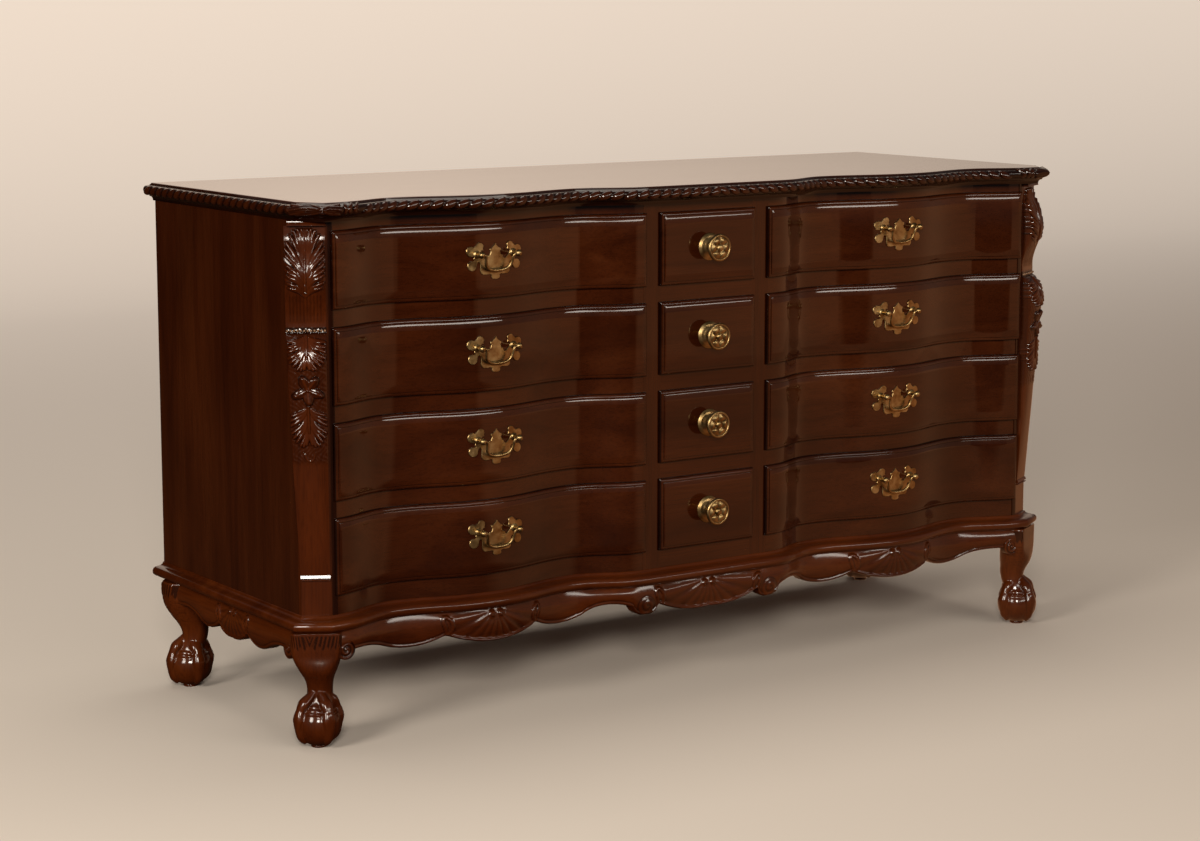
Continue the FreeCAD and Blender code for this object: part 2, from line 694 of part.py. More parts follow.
def front_apron():
    end = FRONT_SCALLOPS[-1][-1][0]
    outer = front_path(dim("apron_face"), -end, end)
    behind = flats(dim("apron_face") - dim("apron_thickness"), dim("centre_flat"), end, 1)
    plan = closed_by(outer, [*reversed(behind), *[(-x, y) for x, y in behind]])
    strip = padded("apron_strip", "XY_Plane", plan, "dims.base_bottom - 100", "100")
    cut = padded("apron_scallops", "XZ_Plane", scalloped(FRONT_SCALLOPS, 0, dim("base_bottom")), 200, "100")
    apron = doc.addObject("Part::Common", "apron")
    apron.Base, apron.Tool = strip, cut
    return apron


node("front_apron", front_apron())
side_middle = (dim("foot_front_y") + dim("foot_rear_y")) / 2
side_aprons = []
for side_name, side in SIDES.items():
    lift = "dims.case_half_width + dims.apron_face - dims.apron_thickness"
    if side < 0:
        lift = "-dims.case_half_width - dims.apron_face"
    side_aprons.append(padded(f"{side_name}_side_apron", "YZ_Plane",
                              scalloped(SIDE_SCALLOPS, side_middle, dim("base_bottom")), "dims.apron_thickness", lift))
node("side_aprons", group("side_apron_pair", side_aprons))

# Glue blocks under the base frame, against the backs of the aprons beside the legs
apron_end = FRONT_SCALLOPS[-1][-1][0]
back_of_apron = flats(dim("apron_face") - dim("apron_thickness"), dim("outer_valley"), apron_end, 1)
(block_x, block_y), (end_x, end_y) = back_of_apron[-2:]
block_plan = [(block_x, block_y), (end_x, end_y), (end_x, end_y + dim("block_depth")),
              (block_x, block_y + dim("block_depth"))]
beside_legs = {"fore": dim("foot_front_y") + dim("knee_radius") + 4,
               "rear": dim("foot_rear_y") - dim("knee_radius") - 4 - dim("block_length")}
block_bottom = "dims.base_bottom - dims.block_height"
for side_name, side in SIDES.items():
    base.append(padded(f"{side_name}_front_block", "XY_Plane", mirrored(chain(block_plan), side),
                       "dims.block_height", block_bottom))
    inside = "dims.case_half_width + dims.apron_face - dims.apron_thickness - dims.block_depth"
    if side < 0:
        inside = "dims.apron_thickness - dims.apron_face - dims.case_half_width"
    for label, y in beside_legs.items():
        base.append(box(f"{side_name}_{label}_block", inside, y, block_bottom, "dims.block_depth",
                        "dims.block_length", "dims.block_height"))
node("base_frame", group("base_members", base))

# Legs: sawn to one profile facing out of the corner and to another across it, with the arrises taken off
OUTER_LINE = (((37, 181), (39, 160), (25, 124)), ((25, 124), (12, 103), (8, 88)), ((8, 88), (12, 76), (23, 64)))
INNER_LINE = ((-27, 64), (-32, 84), (-33, 181))
CROSS_LINE = ((35, 181), (36, 154), (28, 121), (19, 98), (19, 84), (26, 64))
BALL_SIDES = 8
CLAW_RUN = ((16, 80), (30, 60), (35, 38), (30, 17), (21, 7))


def shank(name):
    """The curved leg above the foot, facing +X."""
    profile = padded(name + "_profile", "XZ_Plane", closed_by(list(OUTER_LINE), INNER_LINE), 100, "-50")
    across = [*CROSS_LINE, *[(-w, z) for w, z in reversed(CROSS_LINE)]]
    cross = padded(name + "_cross", "YZ_Plane", chain(across), 100, "-50")
    plan = doc.addObject("Part::Prism", name + "_plan")
    plan.Polygon = BALL_SIDES
    plan.Placement = Placement(Vector(0, 0, 0), Rotation(Vector(0, 0, 1), 180 / BALL_SIDES))
    bind(plan, Circumradius="dims.knee_radius", Height="dims.base_bottom")
    sawn = doc.addObject("Part::MultiCommon", name + "_sawn")
    sawn.Shapes = [profile, cross, plan]
    return sawn


def ball(name):
    """The ball under the claws, worked to flats from three sides."""
    blanks = []
    tilt = 180 / BALL_SIDES
    headings = (Rotation(Vector(0, 0, 1), tilt), Rotation(Vector(0, 1, 0), 90).multiply(Rotation(Vector(0, 0, 1), tilt)),
                Rotation(Vector(1, 0, 0), 90).multiply(Rotation(Vector(0, 0, 1), tilt)))
    for number, heading in enumerate(headings):
        blank = doc.addObject("Part::Prism", f"{name}_blank_{number}")
        blank.Polygon = BALL_SIDES
        start = Vector(0, 0, dim("ball_centre")) - heading.multVec(Vector(0, 0, 60))
        blank.Placement = Placement(start, heading)
        bind(blank, Circumradius=f"dims.ball_radius / cos({tilt})", Height="120")
        blanks.append(blank)
    worked = doc.addObject("Part::MultiCommon", name)
    worked.Shapes = blanks
    return worked


def claw(name, heading, radius):
    """One talon: a rod down over the ball in an upright plane."""
    line = doc.addObject("Part::Polygon", name + "_line")
    line.Nodes = [Vector(r * math.cos(heading), r * math.sin(heading), z) for r, z in CLAW_RUN]
    start = Vector(CLAW_RUN[1][0] - CLAW_RUN[0][0], 0, CLAW_RUN[1][1] - CLAW_RUN[0][1])
    section = doc.addObject("Part::RegularPolygon", name + "_section")
    section.Polygon = 5
    tilt = Rotation(Vector(0, 0, 1), start)
    section.Placement = Placement(line.Nodes[0], Rotation(Vector(0, 0, 1), math.degrees(heading)).multiply(tilt))
    section.setExpression("Circumradius", radius)
    doc.recompute()
    rod = doc.addObject("Part::Sweep", name)
    rod.Sections = [section]
    rod.Spine = (line, [f"Edge{i + 1}" for i in range(len(CLAW_RUN) - 1)])
    rod.Solid = True
    rod.Transition = "Right corner"
    return rod


def leg(name, turn_degrees, x, y):
    """Cabriole leg with its ball-and-claw foot and a glide under it, made about the foot's centre."""
    claws = [claw(f"{name}_claw_{i}", (i + 0.5) * math.pi / 2, "dims.claw_radius") for i in range(4)]
    wood = doc.addObject("Part::MultiFuse", name + "_wood")
    wood.Shapes = [shank(name), ball(name + "_ball"), *claws]
    glide = doc.addObject("Part::Prism", name + "_glide")
    glide.Polygon = BALL_SIDES
    bind(glide, Circumradius="dims.glide_radius", Height="dims.glide_height")
    pair = group(name + "_pair", [wood, glide])
    pair.Placement = Placement(Vector(0, 0, 0), Rotation(Vector(0, 0, 1), turn_degrees))
    bind(pair, Placement__Base__x=x, Placement__Base__y=y)
    return pair


outward = dim("leg_turn")
node("front_left_leg", leg("leg_fl", 270 - outward, "-dims.foot_x", "dims.foot_front_y"))
node("front_right_leg", leg("leg_fr", 270 + outward, "dims.foot_x", "dims.foot_front_y"))
node("back_left_leg", leg("leg_bl", 90 + outward, "-dims.foot_x", "dims.foot_rear_y"))
node("back_right_leg", leg("leg_br", 90 - outward, "dims.foot_x", "dims.foot_rear_y"))

# Checks, then one file for each sub-part
doc.recompute()
failed = [o.Name for o in doc.Objects if "Invalid" in o.State or "Error" in o.State]
assert not failed, f"objects that failed: {failed}"
for name, shape_object in nodes.items():
    shape = shape_object.Shape
    assert not shape.isNull() and shape.isValid() and shape.Solids, f"{name} has no valid solid"
os.makedirs("parts", exist_ok=True)
for name, shape_object in nodes.items():
    shape_object.Shape.exportStep(f"parts/{name}.step")
print(len(nodes), "sub-parts,", sum(len(o.Shape.Solids) for o in nodes.values()), "solids")
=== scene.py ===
import math

import bmesh
import bpy
import numpy as np
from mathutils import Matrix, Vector


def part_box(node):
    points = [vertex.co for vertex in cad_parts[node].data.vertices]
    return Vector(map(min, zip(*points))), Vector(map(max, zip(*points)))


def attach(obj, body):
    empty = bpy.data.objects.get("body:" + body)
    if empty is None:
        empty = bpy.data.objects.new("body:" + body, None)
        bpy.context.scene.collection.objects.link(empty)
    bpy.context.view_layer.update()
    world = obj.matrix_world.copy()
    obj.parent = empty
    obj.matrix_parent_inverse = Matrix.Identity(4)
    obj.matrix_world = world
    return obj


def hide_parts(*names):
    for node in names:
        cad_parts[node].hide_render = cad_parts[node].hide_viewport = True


# Serpentine dresser dressed for its picture. Sizes are in millimetres, in the frame's own axes,
# and become metres when a mesh is built. The front faces -Y.

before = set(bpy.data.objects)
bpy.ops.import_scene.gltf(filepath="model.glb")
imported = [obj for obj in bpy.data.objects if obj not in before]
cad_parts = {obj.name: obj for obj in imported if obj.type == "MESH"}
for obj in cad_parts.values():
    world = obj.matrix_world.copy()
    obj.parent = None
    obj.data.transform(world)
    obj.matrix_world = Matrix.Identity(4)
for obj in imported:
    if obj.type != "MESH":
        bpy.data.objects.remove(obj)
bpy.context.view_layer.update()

MM = 0.001
ROWS = (1, 2, 3, 4)
SIDES = {"left": -1, "right": 1}
UP, FORWARD, BACKWARD = (0, 0, 1), (0, -1, 0), (0, 1, 0)


def extent(node):
    """Lowest and highest corner of a CAD node, in millimetres."""
    low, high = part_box(node)
    return np.array(low) / MM, np.array(high) / MM


# Crests and valleys of the rail face from the middle outwards, each as a place in X and in Y
SWINGS = ((138, -237.5), (243, -200), (422, -232), (592, -198), (703, -235))
MIDDLE_FACE, CORNER_FACE = SWINGS[0][1], SWINGS[-1][1]
# Sanding eases the turns over this width to each side
EASED, EASING_STEPS = 28, 9


def drawn_serpentine(x, offset):
    """Y of the curve as it is drawn: pairs of equal arcs between crests and valleys."""
    x = np.abs(x)
    y = np.full_like(x, MIDDLE_FACE - offset)
    for (x0, y0), (x1, y1) in zip(SWINGS, SWINGS[1:]):
        angle = 2 * math.atan2(abs(y1 - y0), x1 - x0)
        radius = (x1 - x0) / (2 * math.sin(angle))
        crest = 1 if y1 > y0 else -1
        first, second = radius + crest * offset, radius - crest * offset
        meet = x0 + first * math.sin(angle)
        near = (x > x0) & (x <= meet)
        far = (x > meet) & (x <= x1)
        y[near] = y0 + crest * (radius - np.sqrt(first**2 - (x[near] - x0) ** 2))
        y[far] = y1 - crest * (radius - np.sqrt(second**2 - (x[far] - x1) ** 2))
    y[x > SWINGS[-1][0]] = CORNER_FACE - offset
    return y


def serpentine(x, offset):
    """Y of the curve at an offset in front of the rail face, with its turns eased."""
    x = np.asarray(x, float)
    shifts = np.linspace(-EASED, EASED, EASING_STEPS)
    return np.mean([drawn_serpentine(x + shift, offset) for shift in shifts], axis=0)


def front_line(x, offset):
    """Plan points on the serpentine."""
    return np.column_stack([x, serpentine(x, offset)])


def plan_box(x0, x1, y0, y1):
    """Plan of a straight block."""
    return [(x0, y0), (x1, y0), (x1, y1), (x0, y1)]


def at_height(plan, z):
    """Plan points lifted to one height."""
    return np.column_stack([plan, np.full(len(plan), z)])


def around(steps):
    """Angles of even steps round a circle."""
    return np.linspace(0, 2 * math.pi, steps, endpoint=False)


def arc_points(u, v, radius, start, end, steps):
    angles = np.radians(np.linspace(start, end, steps))
    return [(u + radius * math.cos(a), v + radius * math.sin(a)) for a in angles]


def ball_profile(radius, low, high, steps):
    """Turned profile of a ball between two latitudes."""
    return [(radius * math.sin(a), radius * math.cos(a)) for a in np.radians(np.linspace(low, high, steps))]


def smooth_path(points, steps):
    """A smooth curve through the points, a Catmull-Rom spline."""
    points = np.asarray(points, float)
    padded = np.concatenate([[2 * points[0] - points[1]], points, [2 * points[-1] - points[-2]]])
    path = []
    for p0, p1, p2, p3 in zip(padded, padded[1:], padded[2:], padded[3:]):
        for t in np.linspace(0, 1, steps, endpoint=False):
            path.append(0.5 * (2 * p1 + (p2 - p0) * t + (2 * p0 - 5 * p1 + 4 * p2 - p3) * t**2
                               + (3 * p1 - p0 - 3 * p2 + p3) * t**3))
    return np.array(path + [points[-1]])


def between(value, low, high, soft):
    """One inside a band, falling to nothing over a soft edge."""
    return np.clip((value - low) / soft, 0, 1) * np.clip((high - value) / soft, 0, 1)


# Meshes and objects
CREASE = 38


def in_scene(name, data):
    """A new object in the scene."""
    item = bpy.data.objects.new(name, data)
    bpy.context.scene.collection.objects.link(item)
    return item


def turn_outwards(mesh):
    """Points all faces of a closed mesh outwards."""
    work = bmesh.new()
    work.from_mesh(mesh)
    bmesh.ops.recalc_face_normals(work, faces=work.faces)
    work.to_mesh(mesh)
    work.free()


def settled(holder):
    """The plain mesh that an object's modifiers give; the object itself goes."""
    drawn = holder.data
    evaluated = holder.evaluated_get(bpy.context.evaluated_depsgraph_get())
    result = bpy.data.meshes.new_from_object(evaluated)
    bpy.data.objects.remove(holder)
    bpy.data.meshes.remove(drawn)
    return result


def joined(name, parts):
    """Several meshes as one."""
    work = bmesh.new()
    for part in parts:
        work.from_mesh(part)
        bpy.data.meshes.remove(part)
    mesh = bpy.data.meshes.new(name)
    work.to_mesh(mesh)
    work.free()
    return mesh


def finish_mesh(mesh, name, material, body, stands_for=(), crease=CREASE):
    """Turns the faces outwards, shades them and hangs the piece on its body."""
    turn_outwards(mesh)
    mesh.shade_smooth()
    mesh.set_sharp_from_angle(angle=math.radians(crease))
    mesh.materials.clear()
    mesh.materials.append(material)
    piece = in_scene(name.replace(" ", "_"), mesh)
    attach(piece, body)
    if stands_for:
        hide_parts(*stands_for)


class Shell:
    """Grids, walls and caps of one piece, in millimetres, and the painted shade and glaze at each point,
    deepest in carving.
    """

    def __init__(self):
        self.points, self.faces, self.hollows, self.count = [], [], [], 0

    def take(self, points, faces, shade_and_glaze=None):
        """Adds points with the faces between them, and gives the number of the first point."""
        first = self.count
        self.points.append(points)
        plain = np.zeros(len(points))
        self.hollows.append(plain if shade_and_glaze is None else np.asarray(shade_and_glaze, float).reshape(-1))
        self.faces += (first + np.asarray(faces)).tolist()
        self.count += len(points)
        return first

    def grid(self, points, shade_and_glaze=None, wrap=False):
        rows, cols = points.shape[:2]
        ids = np.arange(rows * cols).reshape(rows, cols)
        run = np.concatenate([ids, ids[:, :1]], axis=1) if wrap else ids
        quads = np.stack([run[:-1, :-1], run[:-1, 1:], run[1:, 1:], run[1:, :-1]], axis=-1)
        return ids + self.take(points.reshape(-1, 3), quads.reshape(-1, 4), shade_and_glaze)

    def cap(self, ids):
        self.faces.append([int(i) for i in ids])

    def bridge(self, a, b, closed=True):
        """A wall between two runs of points."""
        for i in range(len(a) if closed else len(a) - 1):
            j = (i + 1) % len(a)
            self.cap((a[i], a[j], b[j], b[i]))

    def tube(self, rings, shade_and_glaze=None):
        """A closed run of rings, capped at both ends."""
        ids = self.grid(np.asarray(rings, float), shade_and_glaze, wrap=True)
        self.cap(ids[0][::-1])
        self.cap(ids[-1])

    def slab(self, front, back, shade_and_glaze=None, shade_behind=0.0):
        """Two sheets of the same layout, joined round their edge."""
        sheets = self.grid(front, shade_and_glaze), self.grid(back, np.full(back.shape[:2], shade_behind))
        self.bridge(*[np.concatenate([s[0, :-1], s[:-1, -1], s[-1, :0:-1], s[:0:-1, 0]]) for s in sheets])

    def prism(self, outline, low, high):
        """An upright block on a plan outline."""
        self.tube([at_height(outline, z) for z in (low, high)])

    def turned(self, profile, centre, axis, steps):
        """A turned piece: profile holds distance along the axis and radius."""
        axis = np.asarray(axis, float)
        side = np.cross(axis, UP) if abs(axis[2]) < 0.9 else np.array([1.0, 0.0, 0.0])
        angles = around(steps)
        spokes = np.outer(np.cos(angles), side) + np.outer(np.sin(angles), np.cross(axis, side))
        self.tube([np.asarray(centre) + axis * reach + spokes * radius for reach, radius in profile])

    def swept(self, path, radii, sides):
        """A round rod along a path, with its own radius at each point."""
        path = np.asarray(path, float)
        tangents = np.gradient(path, axis=0)
        tangents /= np.linalg.norm(tangents, axis=1)[:, None]
        normal = np.cross(tangents[0], [0.31, 0.87, 0.22])
        angles = around(sides)
        rings = []
        for place, tangent, radius in zip(path, tangents, radii):
            normal = normal - tangent * normal.dot(tangent)
            normal /= np.linalg.norm(normal)
            spokes = np.outer(np.cos(angles), normal) + np.outer(np.sin(angles), np.cross(tangent, normal))
            rings.append(place + radius * spokes)
        self.tube(rings)

    def mesh(self, name):
        mesh = bpy.data.meshes.new(name)
        mesh.from_pydata((np.concatenate(self.points) * MM).tolist(), [], self.faces)
        shade_and_glaze = mesh.attributes.new("shade_and_glaze", "FLOAT", "POINT")
        shade_and_glaze.data.foreach_set("value", np.concatenate(self.hollows).astype(np.float32))
        return mesh

    def build(self, name, material, body, slot, stands_for=(), crease=CREASE):
        finish_mesh(self.mesh(name), name, material, body, stands_for, crease)


# Finishes
def feed(tree, node, **inputs):
    """Gives a node its inputs: each is a value or another node's output."""
    for key, value in inputs.items():
        numbered = key[0] == "i" and key[1:].isdigit()
        socket = node.inputs[int(key[1:])] if numbered else node.inputs[key.replace("_", " ")]
        if isinstance(value, bpy.types.NodeSocket):
            tree.links.new(value, socket)
        else:
            socket.default_value = value


def add(tree, kind, settings=None, **inputs):
    """A node with its settings and inputs."""
    node = tree.nodes.new(kind)
    for key, value in (settings or {}).items():
        setattr(node, key, value)
    feed(tree, node, **inputs)
    return node


def new_finish(name):
    """A material with its node tree and its shader."""
    material = bpy.data.materials.new(name)
    material.use_nodes = True
    return material, material.node_tree, material.node_tree.nodes["Principled BSDF"]


def ramp(tree, value, stops):
    """A colour ramp: stops hold a place and a colour."""
    node = add(tree, "ShaderNodeValToRGB", Fac=value)
    elements = node.color_ramp.elements
    while len(elements) < len(stops):
        elements.new(0.5)
    for element, (place, colour) in zip(elements, stops):
        element.position = place
        element.color = (*colour, 1)
    return node.outputs["Color"]


def multiplied(tree, a, b, share=1.0):
    settings = {"data_type": "RGBA", "blend_type": "MULTIPLY"}
    return add(tree, "ShaderNodeMix", settings, Factor=share, i6=a, i7=b).outputs[2]


def ranged(tree, value, start, end, low=0.0, high=1.0):
    """A value's range moved to another range and held at its ends."""
    return add(tree, "ShaderNodeMapRange", Value=value, From_Min=start, From_Max=end, To_Min=low,
               To_Max=high).outputs["Result"]


def noise(tree, place, detail, roughness=0.5, distortion=0.0, scale=1.0):
    return add(tree, "ShaderNodeTexNoise", Vector=place, Scale=scale, Detail=detail, Roughness=roughness,
               Distortion=distortion).outputs["Fac"]


def stretched(tree, along, lengthwise, across):
    """Object coordinates stretched so that a pattern runs along one axis."""
    place = add(tree, "ShaderNodeTexCoord").outputs["Object"]
    scale = [across, across, across]
    scale["xyz".index(along)] = lengthwise
    return add(tree, "ShaderNodeMapping", Vector=place, Scale=scale).outputs["Vector"]


def shaded_and_glazed(tree, colour, full, dark):
    """The colour darkened by the painted shade and glaze stored on the points, which in brass stands for
    patina in the hollows.
    """
    shade_and_glaze = add(tree, "ShaderNodeAttribute", {"attribute_name": "shade_and_glaze"}).outputs["Fac"]
    return multiplied(tree, colour, ramp(tree, shade_and_glaze, [(0.05, (1, 1, 1)), (full, dark)]))


BAND_PLACES, PATCH_PLACES = (0.28, 0.5, 0.74), (0.3, 0.52, 0.75)
FIGURE_STOPS = ((0.3, (0.72, 0.68, 0.64)), (0.62, (1.1, 1.1, 1.1)))
PORE_STOPS, PORE_SHARE = ((0.36, (0.5, 0.44, 0.4)), (0.5, (1, 1, 1))), 0.4


def wood(name, along, tones, pore_depth, roughness, coat, specular=0.06, coat_roughness=0.05):
    """Polished or plain timber: growth bands, broad figure, fine pores, and painted shade with glaze in the
    carving and along shadow lines.
    """
    material, tree, shader = new_finish(name)
    bands = noise(tree, stretched(tree, along, 1.3, 17), 7.0, 0.6, 0.7)
    figure = noise(tree, stretched(tree, along, 1.6, 4.5), 3.0, 0.5, 1.2)
    pores = noise(tree, stretched(tree, along, 14, 420), 2.0)
    colour = ramp(tree, bands, list(zip(BAND_PLACES, tones)))
    colour = multiplied(tree, colour, ramp(tree, figure, FIGURE_STOPS))
    colour = multiplied(tree, colour, ramp(tree, pores, PORE_STOPS), PORE_SHARE)
    bump = add(tree, "ShaderNodeBump", Strength=pore_depth, Distance=0.0004, Height=pores)
    feed(tree, shader, Base_Color=shaded_and_glazed(tree, colour, 0.9, (0.2, 0.16, 0.14)),
         Roughness=ranged(tree, bands, 0.25, 0.75, *roughness), Normal=bump.outputs["Normal"],
         Specular_IOR_Level=specular, Specular_Tint=(1.0, 0.72, 0.5, 1), Coat_Weight=coat,
         Coat_Roughness=coat_roughness)
    return material


def brass(name, tones, roughness):
    """Old lacquered brass: warm patches, darker in the hollows, faint scratches."""
    material, tree, shader = new_finish(name)
    place = add(tree, "ShaderNodeTexCoord").outputs["Object"]
    patches = noise(tree, place, 5.0, 0.6, scale=70.0)
    marks = noise(tree, stretched(tree, "z", 160, 900), 2.0)
    colour = ramp(tree, patches, list(zip(PATCH_PLACES, tones)))
    bump = add(tree, "ShaderNodeBump", Strength=0.12, Distance=0.0003, Height=marks)
    feed(tree, shader, Base_Color=shaded_and_glazed(tree, colour, 0.95, (0.16, 0.11, 0.06)), Metallic=1.0,
         Roughness=ranged(tree, patches, 0.3, 0.75, *roughness), Normal=bump.outputs["Normal"])
    return material


MAHOGANY_TONES = ((0.022, 0.0038, 0.0008), (0.037, 0.0072, 0.0015), (0.055, 0.0125, 0.0029))
# Worn tones: a lighter copy of the mahogany for the base, aprons, legs and posts, partly wear and partly
# painted light where these stand more lit
WORN_AND_LIT_TONES = ((0.034, 0.0056, 0.0008), (0.062, 0.0112, 0.0015), (0.095, 0.02, 0.003))
# Rubbed tones: much lighter, a painted highlight on each small bead as well as rubbing
RUBBED_AND_HIGHLIT_TONES = ((0.16, 0.08, 0.04), (0.26, 0.15, 0.085), (0.36, 0.23, 0.14))
POPLAR_TONES = ((0.2, 0.118, 0.055), (0.32, 0.2, 0.1), (0.42, 0.29, 0.16))
BRASS_TONES = ((0.2, 0.12, 0.045), (0.36, 0.24, 0.1), (0.52, 0.37, 0.17))
GLOSS, WORN_GLOSS = (0.2, 0.3), (0.3, 0.42)
POLISHED = {"tones": MAHOGANY_TONES, "pore_depth": 0.08, "roughness": GLOSS, "coat": 0.8}
WORN_AND_LIT = {"tones": WORN_AND_LIT_TONES, "pore_depth": 0.08, "roughness": WORN_GLOSS, "coat": 0.8, "coat_roughness": 0.12}
PLAIN = {"tones": POPLAR_TONES, "pore_depth": 0.25, "roughness": (0.5, 0.68), "coat": 0.0}
mahogany_across = wood("mahogany, grain across", "x", **POLISHED)
mahogany_upright = wood("mahogany, grain upright", "z", **POLISHED)
mahogany_top = wood("mahogany, polished top", "x", MAHOGANY_TONES, 0.03, (0.12, 0.18), 1.0, specular=0.5)
worn_and_lit_across = wood("worn and lit mahogany, grain across", "x", **WORN_AND_LIT)
worn_and_lit_upright = wood("worn and lit mahogany, grain upright", "z", **WORN_AND_LIT)
worn_and_lit_deep = wood("worn mahogany, grain front to back", "y", **WORN_AND_LIT)
rubbed_and_highlit_upright = wood("rubbed and highlit mahogany", "z", RUBBED_AND_HIGHLIT_TONES, 0.05, GLOSS, 0.8, 0.2, 0.12)
poplar_across = wood("poplar, grain across", "x", **PLAIN)
poplar_deep = wood("poplar, grain front to back", "y", **PLAIN)
poplar_upright = wood("poplar, grain upright", "z", **PLAIN)
antique_brass = brass("antique brass", BRASS_TONES, (0.27, 0.44))

# The side panels, back, dust frames and drawer boxes are shown as the CAD has them
for node_name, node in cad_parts.items():
    finish = {"back_panel": poplar_across, "dust_frames": poplar_deep}.get(node_name, mahogany_upright)
    if node_name.endswith("_box"):
        finish = poplar_deep
    node.data.materials.clear()
    node.data.materials.append(finish)

# Plan lines that wrap the front and both ends
FRONT_STEPS = 361


def wrapped_line(out, side_x, front, cant_side, cant_front, back_y):
    """Plan points from the back left round the front to the back right, moved outwards from a base line."""
    (xs, ys), (xf, yf) = cant_side, cant_front
    normal = np.array([ys - yf, xf - xs]) / math.hypot(ys - yf, xf - xs)
    reach = normal.dot((xs, ys)) + out
    side = side_x + out
    side_y = (reach - normal[0] * side) / normal[1]
    front_face = CORNER_FACE - front - out
    front_x = (reach - normal[1] * front_face) / normal[0]
    middle = front_line(np.linspace(-front_x, front_x, FRONT_STEPS), front + out)
    ends = np.array([[side, side_y], [side, back_y]])
    return np.concatenate([ends[::-1] * (-1, 1), middle, ends])


def moulding_rings(profile, line):
    """Rings of a moulding: profile holds distance outwards and height."""
    return np.array([at_height(line(out), z) for out, z in profile])


# Top board
TOP_LOW, TOP_HIGH = extent("top_board")
TOP_FACE, TOP_UNDER = TOP_HIGH[2], TOP_LOW[2]
NOSE_REACH = 18
ARRIS_FRONT = MIDDLE_FACE - TOP_LOW[1] - NOSE_REACH
ARRIS_SIDE = TOP_HIGH[0] - NOSE_REACH
TOP_CANT = ((ARRIS_SIDE, -219), (ARRIS_SIDE - 27, CORNER_FACE - ARRIS_FRONT))
NOSE_CENTRE = (7.5, TOP_FACE - 10.5)
ROLL_RADIUS = 6.6
FIELD_INSET, FIELD_THICK = 3.0, 3


def top_line(out):
    return wrapped_line(out, ARRIS_SIDE, ARRIS_FRONT, *TOP_CANT, TOP_HIGH[1])


def top_board():
    """Flat field, a small bead at the arris, the roll that carries the gadroons, and a cove underneath."""
    roll = arc_points(*NOSE_CENTRE, ROLL_RADIUS, 115, -105, 15)
    cove = [(2 - 5 * math.sin(a), TOP_UNDER + 7 * math.cos(a)) for a in np.radians(np.linspace(0, 90, 7))]
    bead = [(-FIELD_INSET, TOP_FACE), (-1.2, TOP_FACE - 0.2), (-0.2, TOP_FACE - 0.9), (0.4, TOP_FACE - 1.8)]
    profile = [*bead, *roll, (3.0, TOP_UNDER + 7.5), *cove, (-24, TOP_UNDER)]
    # Painted shade: a dark band over the roll and painted shadow in the cove under the top
    shades = [0.0, 0.0, 0.2, 0.7] + [0.85] * len(roll) + [1.0] * (len(cove) + 2)
    shell = Shell()
    rings = moulding_rings(profile, top_line)
    ids = shell.grid(rings, np.repeat(shades, rings.shape[1]), wrap=True)
    shell.cap(ids[-1][::-1])
    under = shell.grid(rings[:1] - (0, 0, FIELD_THICK), wrap=True)
    shell.cap(under[0])
    shell.bridge(under[0], ids[0])
    shell.build("top board", mahogany_across, "case", "mahogany", ["top_board"])
    field = Shell()
    field.prism(top_line(-FIELD_INSET), TOP_FACE - FIELD_THICK, TOP_FACE)
    field.build("top field", mahogany_top, "case", "mahogany")


top_board()

# Base moulding
BASE_LOW, BASE_HIGH = extent("base_frame")
CASE_SIDE = extent("right_side_panel")[1][0]
BASE_TOP, BASE_UNDER = BASE_HIGH[2], extent("front_apron")[1][2]
BASE_NOSE = BASE_HIGH[0] - CASE_SIDE + 1.5
BASE_CANT = ((CASE_SIDE, -213), (714, CORNER_FACE))
BASE_INSIDE = -24
NOSE_DEPTH, NOSE_HALF, NOSE_LEVEL = 7, 7.5, 10.5
BACK_BAR_HALF, BACK_BAR_DEPTH = 690, 40
OGEE = ((0.6, 0), (1.8, 0.9), (3.8, 3.6), (7.5, 5.6), (12.0, 6.3))
FILLET = ((12.4, 2.6), (11.8, 0.8), (10.5, 0))


def base_line(out):
    return wrapped_line(out, CASE_SIDE, 0, *BASE_CANT, BASE_HIGH[1])


def base_moulding():
    """Ogee into a half-round nose, with a fillet above the apron."""
    nose = [(BASE_NOSE - NOSE_DEPTH + NOSE_DEPTH * math.cos(a),
             BASE_UNDER + NOSE_LEVEL + NOSE_HALF * math.sin(a))
            for a in np.radians(np.linspace(80, -80, 11))]
    ogee = [(out, BASE_TOP - drop) for out, drop in smooth_path(OGEE, 4)]
    fillet = [(out, BASE_UNDER + rise) for out, rise in FILLET]
    profile = [(BASE_INSIDE, BASE_TOP), *ogee, *nose, *fillet, (BASE_INSIDE, BASE_UNDER)]
    shell = Shell()
    ids = shell.grid(moulding_rings(profile, base_line))
    shell.bridge(ids[-1], ids[0], closed=False)
    shell.cap(ids[:, 0])
    shell.cap(ids[::-1, -1])
    back_bar = plan_box(-BACK_BAR_HALF, BACK_BAR_HALF, BASE_HIGH[1] - BACK_BAR_DEPTH, BASE_HIGH[1])
    shell.prism(back_bar, BASE_UNDER, BASE_TOP)
    shell.build("base moulding", worn_and_lit_across, "case", "mahogany", ["base_frame"])


def glue_blocks():
    """Blocks glued under the base moulding, against the backs of the aprons beside the legs."""
    depth, length = 22, 36
    against = front_line(np.array([647.5, 688.0]), -10)
    inside = CASE_SIDE - 32
    plans = [np.concatenate([against, against[::-1] + (0, depth)])]
    plans += [plan_box(inside, inside + depth, y, y + length) for y in (-177, 144)]
    shell = Shell()
    for sign in SIDES.values():
        for plan in plans:
            shell.prism(np.array(plan) * (sign, 1), BASE_LOW[2], BASE_UNDER)
    shell.build("glue blocks", poplar_across, "case", "drawer_wood")


base_moulding()
glue_blocks()

